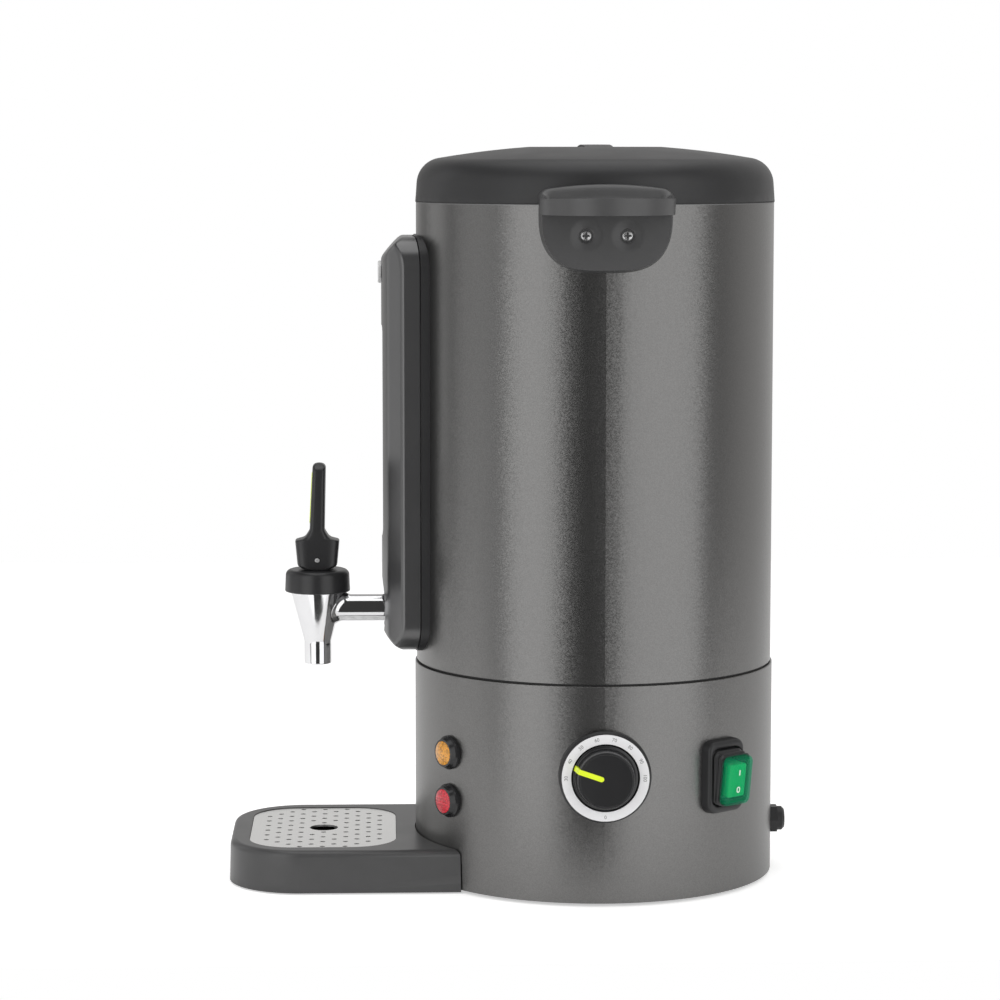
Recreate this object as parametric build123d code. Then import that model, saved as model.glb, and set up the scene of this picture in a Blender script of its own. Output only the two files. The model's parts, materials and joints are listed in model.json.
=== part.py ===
"""Hot water urn: a double-walled steel boiler with a twist-and-lift lid, a lever tap and a sight gauge.

Each shape is worked out about the urn's own upright axis, with the table at height 0 and the tap towards -Y.
The finished pieces are then moved along Y so that the origin is the bottom centre of the whole urn.
"""
from build123d import *
import math
import os

# ---------------------------------------------------------------- fits
SLIP = 0.3             # gap between a moving piece and its neighbour
FIT = 0.1              # gap between fixed pieces that slide together once
PROUD = 1.0            # how far a cutting tool runs past the face it cuts

# ---------------------------------------------------------------- drum
BASE_RADIUS = 110.0
BASE_WALL = 0.9
BASE_BOTTOM = 2.0
BASE_HEIGHT = 129.5
BASE_LEDGE = 9.0       # how far the base's top ledge reaches inwards
BASE_LIP = 4.0
SEAM_GAP = 1.2         # dark line between base and jacket
JACKET_STEP = 1.0      # how far the jacket's face lies inside the base's face
JACKET_WALL = 0.8
JACKET_HEIGHT = 279.3
POT_GAP = 5.4          # air space between the jacket and the water pot
POT_WALL = 0.8
POT_RISE = 8.5         # the pot's inside floor above the base's top
POT_CORNER = 8.0
RIM_THICK = 1.0
SEAM_HOOK_THICK = 1.6  # the dark seam ring's upright lip behind the jacket
SEAM_HOOK_HEIGHT = 6.0

JACKET_RADIUS = BASE_RADIUS - JACKET_STEP
POT_RADIUS = JACKET_RADIUS - JACKET_WALL - POT_GAP - POT_WALL     # inside of the water pot
BASE_TOP = BASE_BOTTOM + BASE_HEIGHT
JACKET_BOTTOM = BASE_TOP + SEAM_GAP
JACKET_TOP = JACKET_BOTTOM + JACKET_HEIGHT
RIM_TOP = JACKET_TOP + RIM_THICK
POT_FLOOR = BASE_TOP + POT_RISE
POT_BOTTOM = POT_FLOOR - POT_WALL

# ---------------------------------------------------------------- underside
PLATE_WALL = 1.0
PLATE_RISE = 5.5       # how far the middle of the bottom plate is pressed up
PLATE_RIM_HEIGHT = 9.0
PLATE_MARGIN = 30.0    # from the base's face in to the pressed-up middle
FOOT_RADIUS = 9.0
FOOT_MARGIN = 17.0
FOOT_PEG_RADIUS = 3.0
FOOT_PEG_LENGTH = 3.0
FOOT_BARB = 1.2        # how far the peg's snap-in barb stands out
FOOT_COUNT = 4
STUD_RADIUS = 2.5
STUD_COUNT = 3
STUD_TAIL = 0.4        # how far a tie stud stands out of its nut
NUT_RADIUS = 4.6
NUT_THICK = 3.6
VENT_COUNT = 12
VENT_LENGTH = 22.0
VENT_WIDTH = 3.0
VENT_CIRCLE = 45.0

PLATE_DISH_RADIUS = BASE_RADIUS - PLATE_MARGIN
FOOT_CIRCLE = BASE_RADIUS - FOOT_MARGIN
PLATE_BOTTOM = BASE_BOTTOM + BASE_WALL
DISH_BOTTOM = PLATE_BOTTOM + PLATE_RISE
DISH_TOP = DISH_BOTTOM + PLATE_WALL

# ---------------------------------------------------------------- heater and controls inside
HEAT_MARGIN = 24.0     # from the pot's wall in to the heating plate's edge
HEAT_PLATE_THICK = 5.0
ELEMENT_MARGIN = 26.0
ELEMENT_WIDTH = 8.0
ELEMENT_DEPTH = 6.5
ELEMENT_SWEEP = 320.0
ELEMENT_LEG_RADIUS = 1.8
ELEMENT_LEG_REACH = 22.0
STUD_MARGIN = 10.0
CUTOUT_PLACE = (-30.0, 26.0)
CUTOUT_SIZE = (22.0, 34.0, 30.0)
CUTOUT_NECK_RADIUS = 5.0
CUTOUT_NECK_REACH = 3.0
RESET_RADIUS = 2.6
RESET_TRAVEL = 1.5
RESET_REACH = 3.0      # how far the button stands out of its neck
RESET_WELL = 6.0       # how deep the button's well goes above the bottom plate
TERMINAL_SIZE = (34.0, 16.0, 14.0)
TERMINAL_MARGIN = 14.0
TERMINAL_HOLE_RADIUS = 1.6
BLADE = (6.3, 0.8, 9.0)    # width, thickness and length of a push-on terminal

HEAT_PLATE_RADIUS = POT_RADIUS - HEAT_MARGIN
ELEMENT_CIRCLE = HEAT_PLATE_RADIUS - ELEMENT_MARGIN
STUD_CIRCLE = HEAT_PLATE_RADIUS - STUD_MARGIN
TERMINAL_PLACE = (0.0, PLATE_DISH_RADIUS - TERMINAL_MARGIN)

# ---------------------------------------------------------------- thermostat and dial, on the right side
DIAL_HEIGHT = 78.6
DIAL_RADIUS = 27.2
DIAL_STEP_RADIUS = 25.9
DIAL_THICK = 5.4       # from the drum to the bezel's outer shoulder
DIAL_STEP = 1.2
RING_THICK = 0.8
KNOB_RADIUS = 19.3
KNOB_FACE_RADIUS = 16.5
KNOB_HEIGHT = 14.0
KNOB_SKIRT = 5.0
KNOB_WALL = 2.2
KNOB_WELL = 2.2        # distance from the drum to the knob's foot
POINTER_WIDTH = 3.0
POINTER_DEPTH = 1.0
POINTER_PROUD = 0.3
POINTER_START = 1.6
POINTER_ANGLE = 161.0  # direction of the pointer, counted from the rear round to the top
SPINDLE_RADIUS = 3.0
SPINDLE_FLAT = 1.8
SPINDLE_DEPTH = 10.0   # how far the spindle reaches into the thermostat
FLAT_LENGTH = 9.0
NECK_RADIUS = 5.5
NECK_REACH = 3.2       # how far the neck stands out of the drum
THERMOSTAT_SIZE = (38.0, 32.0, 30.0)

# ---------------------------------------------------------------- lamps, towards the front
LAMP_ANGLE = -55.0
LAMP_HEIGHTS = (84.5, 55.3)
LAMP_RADIUS = 10.2
LAMP_TOP_RADIUS = 8.3
LAMP_REACH = 5.2
LAMP_LENS_RADIUS = 7.2
LAMP_DOME = 0.9
LAMP_TUBE_RADIUS = 5.0
LAMP_TUBE_LENGTH = 18.0
LAMP_NUT_RADIUS = 8.0

# ---------------------------------------------------------------- mains switch, towards the rear
SWITCH_ANGLE = 40.0
SWITCH_HEIGHT = 73.8
SWITCH_FRAME = (30.0, 44.0)
SWITCH_FRAME_THICK = 6.0
SWITCH_FRAME_CORNER = 6.5
SWITCH_WINDOW = (24.6, 34.0)
SWITCH_CUT = (22.6, 30.6)
SWITCH_BODY = (22.0, 30.0)
SWITCH_BODY_DEPTH = 24.0
ROCKER_SIZE = (15.0, 21.0)
ROCKER_TOP = 14.4
ROCKER_FOOT = 3.2
BOOT_SIZE = (22.0, 29.5)
BOOT_WALL = 1.2
BOOT_CORNER = 4.0
BOOT_FOOT = 5.4
ROCKER_PIVOT = 0.9
TRUNNION_RADIUS = 1.0
TRUNNION_TONGUE = 7.6
TRUNNION_CHEEK = 2.0
TRUNNION_FIT = 0.06
SWITCH_SINK = 1.4      # how far the switch's face lies inside the drum
ROCKER_TILT = 6.5      # tilt either side of the middle

# ---------------------------------------------------------------- cord gland, at the rear
GLAND_HEIGHT = 30.0
GLAND_THREAD_RADIUS = 7.0
GLAND_BORE_RADIUS = 4.0
GLAND_HEX_RADIUS = 9.0
GLAND_REACH = 9.0
GLAND_STEP = 1.6
GLAND_TAIL = 9.0
GLAND_NUT_THICK = 4.0

# ---------------------------------------------------------------- handles
HANDLE_WIDTH = 78.0
HANDLE_HEIGHT = 51.6
HANDLE_RISE = 11.3     # how far the handle's top stands above the lid's lower edge
HANDLE_PLATE = 4.4
HANDLE_LIP_RADIUS = 40.0
HANDLE_LIP_OFFSET = 3.5    # from the jacket's face out to the centre of the lip's round edge
HANDLE_LIP_DROP = 6.0
HANDLE_LIP_HEIGHT = 7.6
HANDLE_LIP_EDGE = 3.0
HANDLE_DISH = 2.2      # how far the top face is hollowed
HANDLE_ROOT = 13.0     # height of the hollow where the lip grows out of the plate
HANDLE_TAPER = 0.4
HANDLE_CORNER = 31.0
HANDLE_LID_GAP = 1.1
SCREW_SPACING = 24.0
SCREW_DROP = 29.8      # from the handle's top down to its screws
SCREW_HEAD_RADIUS = 3.7
SCREW_HEAD = 2.4
SCREW_SINK = 0.9       # how far a handle screw's head lies inside the handle's face
SCREW_CROSS = (4.2, 1.0)
SCREW_CROSS_DEPTH = 1.4
SCREW_RADIUS = 2.0
SCREW_TAIL = 0.6       # how far a screw's end stands out of its nut plate
NUT_PLATE = (36.0, 15.0, 3.0)

# ---------------------------------------------------------------- sight gauge, on the front
GAUGE_LIFT = 7.3       # from the jacket's lower edge up to the housing's lower end
GAUGE_HEIGHT = 252.5
GAUGE_HALF = 40.7
GAUGE_CORNER = 20.0
GAUGE_DEPTH = 21.3     # from the jacket's face out to the cover's front
GAUGE_CROWN_HALF = 21.0
GAUGE_CROWN_FALL = 3.7
GAUGE_SHOULDER_HALF = 34.5
GAUGE_SHOULDER_FALL = 12.3
GAUGE_SIDE_FALL = 23.8
GAUGE_BACK_DEPTH = 1.8
GAUGE_PART_RISE = 4.3  # how far the parting line bows out between its two sides
COVER_STEP = 0.5       # how far the cover's edge lies inside the back's edge
GAUGE_WALL = 2.2
GAUGE_END_SLOPE = 15.0
GAUGE_DISH = 7.5       # depth of the hollow round the tap's shank
GAUGE_DISH_FLARE = 7.0
WINDOW_BELOW = 68.0    # from the housing's lower end up to the window
WINDOW_ABOVE = 54.5
WINDOW_HALF = 11.0
WINDOW_RECESS = 2.2
WINDOW_THICK = 2.0
WINDOW_CORNER = 5.0
TUBE_RADIUS = 5.0
TUBE_BORE = 3.6
TUBE_OFFSET = 7.8      # from the housing's back out to the gauge tube's axis
TUBE_RISE = 22.4       # from the shank's axis up to the tube's foot
TUBE_OVER = 14.0       # how far the tube reaches above the window
SEAL_WALL = 1.2
MANIFOLD_WIDTH = 26.0
MANIFOLD_DROP = 13.0
MANIFOLD_CUP = 8.0     # how far the manifold's cup reaches up round the tube
PLUG_RADIUS = 7.5
PLUG_HEIGHT = 14.0
PLUG_GRIP = 7.0        # how far the plug reaches down over the tube
CAP_DROP = 22.5
CAP_RADIUS = 6.8
CAP_PROUD = 2.0
CAP_PEG = 1.2
COVER_SCREW_SINK = 4.0

# ---------------------------------------------------------------- tap
TAP_REACH = 39.7       # from the cover's front out to the spout's axis
TAP_SHANK_RISE = 23.6  # from the pot's floor up to the shank's axis
TAP_SHANK_RADIUS = 8.3
TAP_SHANK_BORE = 5.0
TAP_SHANK_STOP = 4.0   # the shank ends this far short of the spout's axis
TAP_SPOUT_DROP = 34.3
TAP_SPOUT_LENGTH = 13.7
TAP_SPOUT_RADIUS = 8.4
TAP_SPOUT_BORE = 6.4
TAP_CONE_RISE = 10.4
TAP_CONE_RADIUS = 16.4
TAP_WALL = 4.6
SEAT_DEPTH = 8.0
SEAT_SKIRT = 2.0
SEAT_SLOPE = 0.35      # growth of the valve seat's radius with height
SEAT_LIFT = 4.0        # from the seat's foot up to the stem's end
TAP_NECK_RADIUS = 14.0
TAP_NECK_HEIGHT = 6.0
BONNET_RADIUS = 20.0
BONNET_HEIGHT = 13.6
BONNET_DRAFT = 0.7
BONNET_ROUND = 4.6
STEM_RADIUS = 3.0
STEM_LIFT = 3.5
STEM_EYE_RADIUS = 4.2
LEVER_TILT = 30.0
PIN_RADIUS = 1.5
PIN_FIT = 0.08
PIN_ABOVE_BONNET = 6.2
LEVER_WIDTH = 18.0
LEVER_SHOULDER_HALF = 13.7
LEVER_SHOULDER_RISE = 11.6
LEVER_HALF = 4.3
LEVER_LENGTH = 59.5    # from the pin to the tip
LEVER_LEAN = 1.2
LEVER_BROW = 3.0       # height of the tip's round end
LEVER_NECK = 6.5       # height of the hollow between shoulder and stalk
LEVER_FLARE = 1.6      # how far the paddle's end grows on each side
LEVER_SLOT_HALF = 3.4
LEVER_BOSS = 0.5       # how much longer the pin is than the lever's foot is wide
INSERT_LOW = 22.0
INSERT_LENGTH = 32.0
INSERT_WIDTH = 9.0
INSERT_THICK = 1.4
INSERT_PROUD = 0.3
SPRING_LIFT = 2.4      # from the seat's top up to the spring's foot
SPRING_RADIUS = 5.4
SPRING_WIRE = 0.5
SPRING_TURNS = 6
SHANK_TAIL = 12.0      # how far the shank reaches into the pot
SHANK_NUT_RADIUS = 14.0
SHANK_NUT_THICK = 7.0
SHANK_SEAL = 3.4
SPACER_RADIUS = 12.0

# ---------------------------------------------------------------- drip tray
TRAY_BOTTOM = 1.0
TRAY_TOP = 26.4
TRAY_HALF_WIDTH = 72.5
TRAY_REACH = 114.0     # from the base's face out to the tray's front
TRAY_ROOT = 20.0       # where the tray's outline starts, before the drum is cut out of it
TRAY_CORNER = 44.0
TRAY_TAPER = 1.5
TRAY_WALL = 2.4
TRAY_SKIRT = 0.4       # how much thicker the outer skirt is than the other walls
TRAY_ROUND = 4.0
TRAY_GAP = 0.6
TRAY_FLOOR = 3.6
TRAY_FOOT_RADIUS = 5.0
TRAY_FOOT_INSET = 24.0
PLATE_SIZE = (119.0, 89.0)
PLATE_CORNER = 27.0
PLATE_SETBACK = 57.0   # from the tray's front in to the plate's middle
PLATE_THICK = 1.2
PLATE_SINK = 0.5
LEDGE = 3.4
HOLE_RADIUS = 1.6
HOLE_PITCH = 13.8
DRAIN_RADIUS = 8.7
TONGUE_OFFSET = 32.0
TONGUE_WIDTH = 14.0
TONGUE_HEIGHT = 3.0
TONGUE_LOW = 14.0
TONGUE_REACH = 10.0

# ---------------------------------------------------------------- lid
LID_OVERHANG = 0.3     # how far the lid's skirt stands outside the jacket's face
LID_DRAFT = 1.7
LID_HEIGHT = 33.8
LID_CROWN_RADIUS = 560.0
LID_SHOULDER = 16.0
LID_WALL = 2.5
GRIP_RADIUS = 40.0
GRIP_BAR = 17.0
GRIP_DEPTH = 20.1
GRIP_WALL = 2.0
LID_VENT_MARGIN = 30.3
LID_VENT_SIZE = (24.0, 15.0)
LID_VENT_DEPTH = 14.1
LID_VENT_RADIUS = 1.8
LID_VENT_PITCH = 6.0
PAN_GAP = 4.5          # between the pan and the pot's wall
PAN_WALL = 1.2
PAN_DEPTH = 16.0
PAN_SEAT = 0.2         # the pan's flange lies this far above the lid's lower edge
PAN_EDGE = 3.5
LUG_LENGTH = 2.9
LUG_THICK = 3.0
LUG_WIDTH = 30.0
LUG_COUNT = 3
LOCK_TAB_GAP = 0.9
LOCK_BAND = 0.8
LOCK_BAND_DROP = 3.0
LOCK_TAB_THICK = 3.0
LOCK_GAP = 42.0
GASKET_THICK = 3.4
LID_SCREW_MARGIN = 5.0
LID_SCREW_RADIUS = 1.2
LID_SCREW_HEAD_RADIUS = 2.6
LID_SCREW_HEAD = 0.14
LID_SCREW_LENGTH = 12.0
LID_POST_RADIUS = 4.0

LID_RADIUS = JACKET_RADIUS + LID_OVERHANG
LID_BOTTOM = RIM_TOP + SLIP
LID_TOP = LID_BOTTOM + LID_HEIGHT
GRIP_FLOOR = LID_TOP - GRIP_DEPTH
LID_VENT_PLACE = LID_RADIUS - LID_VENT_MARGIN
LID_VENT_FLOOR = LID_TOP - LID_VENT_DEPTH
PAN_RADIUS = POT_RADIUS - PAN_GAP
PAN_FLANGE = LID_RADIUS - PAN_EDGE
LUG_REACH = PAN_RADIUS + LUG_LENGTH
LUG_TOP = LID_BOTTOM - PAN_DEPTH + LUG_THICK
LOCK_RING_INNER = PAN_RADIUS + LOCK_TAB_GAP
TAB_BOTTOM = LUG_TOP + SLIP * 2

HANDLE_TOP = LID_BOTTOM + HANDLE_RISE
HANDLE_BOTTOM = HANDLE_TOP - HANDLE_HEIGHT
HANDLE_LIP_TOP = HANDLE_TOP - HANDLE_LIP_DROP
HANDLE_LIP_CENTRE = JACKET_RADIUS + HANDLE_LIP_OFFSET

GAUGE_BOTTOM = JACKET_BOTTOM + GAUGE_LIFT
GAUGE_TOP = GAUGE_BOTTOM + GAUGE_HEIGHT
GAUGE_CROWN = JACKET_RADIUS + GAUGE_DEPTH
GAUGE_CROWN_EDGE = GAUGE_CROWN - GAUGE_CROWN_FALL
GAUGE_SHOULDER = GAUGE_CROWN - GAUGE_SHOULDER_FALL
GAUGE_PART_EDGE = GAUGE_CROWN - GAUGE_SIDE_FALL
GAUGE_PART_CROWN = JACKET_RADIUS + GAUGE_BACK_DEPTH
GAUGE_ROOT = JACKET_RADIUS - GAUGE_HALF               # well inside the drum, where the housing's blanks start
WINDOW_LOW = GAUGE_BOTTOM + WINDOW_BELOW
WINDOW_HIGH = GAUGE_TOP - WINDOW_ABOVE
CAP_HEIGHT = GAUGE_TOP - CAP_DROP
TUBE_FROM_AXIS = GAUGE_PART_CROWN + TUBE_OFFSET

TAP_FROM_AXIS = GAUGE_CROWN + TAP_REACH
TAP_SHANK_HEIGHT = POT_FLOOR + TAP_SHANK_RISE
TAP_SPOUT_BOTTOM = TAP_SHANK_HEIGHT - TAP_SPOUT_DROP
TAP_SPOUT_TOP = TAP_SPOUT_BOTTOM + TAP_SPOUT_LENGTH
TAP_CONE_TOP = TAP_SHANK_HEIGHT + TAP_CONE_RISE
TUBE_LOW = TAP_SHANK_HEIGHT + TUBE_RISE
TUBE_HIGH = WINDOW_HIGH + TUBE_OVER
SHANK_END = POT_RADIUS - SHANK_TAIL
SHANK_NUT_FACE = POT_RADIUS - SHANK_SEAL

TRAY_FRONT = BASE_RADIUS + TRAY_REACH
PLATE_CENTRE = TRAY_FRONT - PLATE_SETBACK

BONNET_BOTTOM = TAP_CONE_TOP + FIT
BONNET_TOP = BONNET_BOTTOM + BONNET_HEIGHT
PIN_HEIGHT = BONNET_TOP + PIN_ABOVE_BONNET
CAM_FOOT = PIN_ABOVE_BONNET - SLIP                   # pin to the lever's flat foot
CAM_RISE = STEM_LIFT / math.radians(LEVER_TILT)      # stem lift for each radian of tilt
TONGUE_TIP = BASE_RADIUS - BASE_WALL - TONGUE_REACH
REAR_REACH = BASE_RADIUS + GLAND_REACH
AXIS_Y = (TRAY_FRONT - REAR_REACH) / 2               # where the urn's own axis stands along Y


# ================================================================ helpers
def turned(*corners, sweep=360.0):
    """A solid of revolution about the urn's axis from closed (radius, height) corners."""
    outline = Polyline(*[(r, 0, z) for r, z in corners], close=True)
    return revolve(make_face(outline), Axis.Z, sweep)


def drum(radius, low, high):
    return Pos(0, 0, low) * Cylinder(radius, high - low, align=(Align.CENTER, Align.CENTER, Align.MIN))


def tube(radius, bore, low, high):
    return drum(radius, low, high) - drum(bore, low - PROUD, high + PROUD)


def facing(angle, height):
    """A frame on the drum's side: Z runs outwards from the urn's axis, X round the drum and Y up."""
    a = math.radians(angle)
    outwards = (math.cos(a), math.sin(a), 0)
    sideways = (-math.sin(a), math.cos(a), 0)
    return Plane(origin=(0, 0, height), x_dir=sideways, z_dir=outwards)


FRONT = -90.0
REAR = 90.0
RIGHT = 0.0
LEFT = 180.0


def bar(radius, near, far):
    """A round bar along a facing frame's Z."""
    return drum(radius, near, far)


def block(width, height, near, far, corner=0.0):
    """A bar of rounded rectangular section along a facing frame's Z."""
    section = RectangleRounded(width, height, corner) if corner else Rectangle(width, height)
    return Pos(0, 0, near) * extrude(section, far - near)


def hexagon(radius, near, far):
    return Pos(0, 0, near) * extrude(RegularPolygon(radius, 6), far - near)


def top_edges(shape, height, tolerance=0.01):
    return [e for e in shape.edges() if abs(e.center().Z - height) < tolerance
            and abs(e.bounding_box().size.Z) < tolerance]


# ================================================================ drum
def make_base_shell():
    inner = BASE_RADIUS - BASE_WALL
    shell = turned(
        (BASE_RADIUS - BASE_LIP, BASE_BOTTOM), (BASE_RADIUS, BASE_BOTTOM), (BASE_RADIUS, BASE_TOP),
        (BASE_RADIUS - BASE_LEDGE, BASE_TOP), (BASE_RADIUS - BASE_LEDGE, BASE_TOP - BASE_WALL),
        (inner, BASE_TOP - BASE_WALL), (inner, PLATE_BOTTOM), (BASE_RADIUS - BASE_LIP, PLATE_BOTTOM))
    rim = [e for e in shell.edges().filter_by(GeomType.CIRCLE) if abs(e.radius - BASE_RADIUS) < 0.01]
    shell = fillet(rim, BASE_WALL * 0.6)
    near, far = inner - 4 * PROUD, BASE_RADIUS + PROUD
    shell -= facing(RIGHT, DIAL_HEIGHT) * bar(NECK_RADIUS + FIT, near, far)
    shell -= facing(SWITCH_ANGLE, SWITCH_HEIGHT) * block(*SWITCH_CUT, near, far)
    shell -= facing(REAR, GLAND_HEIGHT) * bar(GLAND_THREAD_RADIUS + FIT, near, far)
    for height in LAMP_HEIGHTS:
        shell -= facing(LAMP_ANGLE, height) * bar(LAMP_TUBE_RADIUS + FIT, near, far)
    for side in (-1, 1):
        slot = block(TONGUE_WIDTH + 2 * SLIP, TONGUE_HEIGHT + 2 * SLIP, TONGUE_TIP, far)
        shell -= facing(FRONT, TONGUE_LOW + TONGUE_HEIGHT / 2) * Pos(side * TONGUE_OFFSET, 0, 0) * slot
    return shell


def foot_places():
    return PolarLocations(FOOT_CIRCLE, FOOT_COUNT, 45)


def stud_places():
    return PolarLocations(STUD_CIRCLE, STUD_COUNT, 30)


def make_bottom_plate():
    edge = BASE_RADIUS - BASE_WALL - SLIP
    rim_top = PLATE_BOTTOM + PLATE_RIM_HEIGHT
    slope = PLATE_DISH_RADIUS + PLATE_RISE
    plate = turned(
        (0, DISH_BOTTOM), (PLATE_DISH_RADIUS, DISH_BOTTOM), (slope, PLATE_BOTTOM), (edge, PLATE_BOTTOM),
        (edge, rim_top), (edge - PLATE_WALL, rim_top), (edge - PLATE_WALL, PLATE_BOTTOM + PLATE_WALL),
        (slope, PLATE_BOTTOM + PLATE_WALL), (PLATE_DISH_RADIUS, DISH_TOP), (0, DISH_TOP))
    low, high = PLATE_BOTTOM - PROUD, DISH_TOP + PROUD
    for place in foot_places():
        plate -= place * drum(FOOT_PEG_RADIUS + FIT, low, high)
    for place in stud_places():
        plate -= place * drum(STUD_RADIUS + FIT, low, high)
    for place in PolarLocations(VENT_CIRCLE, VENT_COUNT, 15):
        slot = extrude(SlotOverall(VENT_LENGTH, VENT_WIDTH), high - low)
        if abs(math.dist(tuple(place.position)[:2], CUTOUT_PLACE)) > VENT_LENGTH:
            plate -= place * Pos(0, 0, low) * slot
    plate -= Pos(*CUTOUT_PLACE) * drum(CUTOUT_NECK_RADIUS + FIT, low, high)
    return plate


def make_feet():
    peg_top = PLATE_BOTTOM + PLATE_WALL
    peg, tip = FOOT_PEG_RADIUS, peg_top + FOOT_PEG_LENGTH
    foot = turned((0, 0), (FOOT_RADIUS - PROUD, 0), (FOOT_RADIUS, PLATE_BOTTOM), (peg, PLATE_BOTTOM),
                  (peg, peg_top), (peg + FOOT_BARB, peg_top), (peg - FOOT_BARB / 2, tip), (0, tip))
    return [place * foot for place in foot_places()]


def make_seam_ring():
    inner = JACKET_RADIUS - JACKET_WALL - FIT
    ledge, hook = BASE_RADIUS - BASE_LEDGE, inner - SEAM_HOOK_THICK
    step, top = JACKET_BOTTOM + SEAM_GAP, JACKET_BOTTOM + SEAM_HOOK_HEIGHT
    return turned((ledge, BASE_TOP), (inner, BASE_TOP), (inner, top), (hook, top), (hook, step), (ledge, step))


def handle_screw_frames():
    """The axis of every handle screw, as facing frames."""
    height = HANDLE_TOP - SCREW_DROP
    return [facing(side, height) * Pos(across * SCREW_SPACING / 2, 0, 0)
            for side in (RIGHT, LEFT) for across in (-1, 1)]


def make_jacket():
    jacket = tube(JACKET_RADIUS, JACKET_RADIUS - JACKET_WALL, JACKET_BOTTOM, JACKET_TOP)
    near, far = POT_RADIUS, JACKET_RADIUS + PROUD
    jacket -= facing(FRONT, TAP_SHANK_HEIGHT) * bar(SPACER_RADIUS + SLIP, near, far)
    jacket -= facing(FRONT, CAP_HEIGHT) * bar(SCREW_RADIUS + FIT, near, far)
    for frame in handle_screw_frames():
        jacket -= frame * bar(SCREW_RADIUS + FIT, near, far)
    return jacket


def make_inner_pot():
    outer = POT_RADIUS + POT_WALL
    body = turned((0, POT_BOTTOM), (outer, POT_BOTTOM), (outer, JACKET_TOP), (JACKET_RADIUS, JACKET_TOP),
                  (JACKET_RADIUS, RIM_TOP), (0, RIM_TOP))
    body = fillet([e for e in body.edges().filter_by(GeomType.CIRCLE)
                   if abs(e.radius - outer) < 0.01 and abs(e.center().Z - POT_BOTTOM) < 0.01],
                  POT_CORNER + POT_WALL)
    hollow = drum(POT_RADIUS, POT_FLOOR, RIM_TOP + PROUD)
    hollow = fillet(hollow.edges().group_by(Axis.Z)[0], POT_CORNER)
    body -= hollow
    return body - facing(FRONT, TAP_SHANK_HEIGHT) * bar(TAP_SHANK_RADIUS + FIT, SHANK_END, JACKET_RADIUS)


def sector(radius, low, high, middle, width):
    """A wedge of a drum, centred on an angle."""
    start = Rot(0, 0, middle - width / 2)
    outline = Polyline((0, 0, low), (radius, 0, low), (radius, 0, high), (0, 0, high), close=True)
    return start * revolve(make_face(outline), Axis.Z, width)


def lug_angles():
    return [90 + i * 360 / LUG_COUNT for i in range(LUG_COUNT)]


def make_lock_ring():
    outer = POT_RADIUS - FIT
    band_low = TAB_BOTTOM - LUG_THICK - LOCK_BAND_DROP
    ring = tube(outer, outer - LOCK_BAND, band_low, TAB_BOTTOM + LOCK_TAB_THICK)
    top = TAB_BOTTOM + LOCK_TAB_THICK
    tabs = tube(outer, LOCK_RING_INNER, TAB_BOTTOM, top)
    for angle in lug_angles():
        tabs -= sector(outer + PROUD, TAB_BOTTOM - PROUD, top + PROUD, angle, LOCK_GAP)
    return ring + tabs


# ================================================================ underside and heater
def make_heating_plate():
    plate = drum(HEAT_PLATE_RADIUS, POT_BOTTOM - HEAT_PLATE_THICK, POT_BOTTOM)
    for place in stud_places():
        plate -= place * drum(STUD_RADIUS + 1, POT_BOTTOM - HEAT_PLATE_THICK - PROUD, POT_BOTTOM + PROUD)
    return fillet(top_edges(plate, POT_BOTTOM - HEAT_PLATE_THICK)[:1], 1.0)


def make_heating_element():
    top = POT_BOTTOM - HEAT_PLATE_THICK
    half = ELEMENT_WIDTH / 2
    flat = top - ELEMENT_DEPTH + half
    side = Polyline((ELEMENT_CIRCLE + half, 0, flat), (ELEMENT_CIRCLE + half, 0, top),
                    (ELEMENT_CIRCLE - half, 0, top), (ELEMENT_CIRCLE - half, 0, flat))
    belly = ThreePointArc((ELEMENT_CIRCLE - half, 0, flat), (ELEMENT_CIRCLE, 0, flat - half),
                          (ELEMENT_CIRCLE + half, 0, flat))
    start = (360 - ELEMENT_SWEEP) / 2
    ring = Rot(0, 0, start) * revolve(make_face(side + belly), Axis.Z, ELEMENT_SWEEP)
    for angle in (start + 3, -start - 3):
        a = math.radians(angle)
        leg = drum(ELEMENT_LEG_RADIUS, top - ELEMENT_LEG_REACH, top - ELEMENT_DEPTH / 2)
        leg = Pos(ELEMENT_CIRCLE * math.cos(a), ELEMENT_CIRCLE * math.sin(a)) * leg
        ring += leg
    return ring


def make_tie_studs():
    stud = drum(STUD_RADIUS, DISH_BOTTOM - NUT_THICK - STUD_TAIL, POT_BOTTOM)
    return [place * stud for place in stud_places()]


def make_tie_nuts():
    low = DISH_BOTTOM - NUT_THICK
    nut = hexagon(NUT_RADIUS, low, DISH_BOTTOM) - drum(STUD_RADIUS + FIT, low - PROUD, DISH_BOTTOM + PROUD)
    return [place * nut for place in stud_places()]


def make_cutout():
    width, depth, height = CUTOUT_SIZE
    body = Pos(*CUTOUT_PLACE, DISH_TOP) * extrude(RectangleRounded(width, depth, 2), height)
    body = fillet(body.edges().group_by(Axis.Z)[-1], 1.5)
    neck_low = DISH_BOTTOM - CUTOUT_NECK_REACH
    neck = Pos(*CUTOUT_PLACE) * drum(CUTOUT_NECK_RADIUS, neck_low, DISH_TOP)
    tabs = Pos(*CUTOUT_PLACE, DISH_TOP + height) * Box(
        width / 7, depth * 0.6, width / 3.6, align=(Align.CENTER, Align.CENTER, Align.MIN))
    well = Pos(*CUTOUT_PLACE) * drum(RESET_RADIUS + SLIP, neck_low - PROUD, DISH_TOP + RESET_WELL)
    return body + neck + tabs - well


def make_reset_button():
    low, top = DISH_BOTTOM - CUTOUT_NECK_REACH - RESET_REACH, DISH_TOP + RESET_WELL - RESET_TRAVEL - SLIP
    button = Pos(*CUTOUT_PLACE) * drum(RESET_RADIUS, low, top)
    return fillet(button.edges().group_by(Axis.Z)[0], 0.8)


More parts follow.
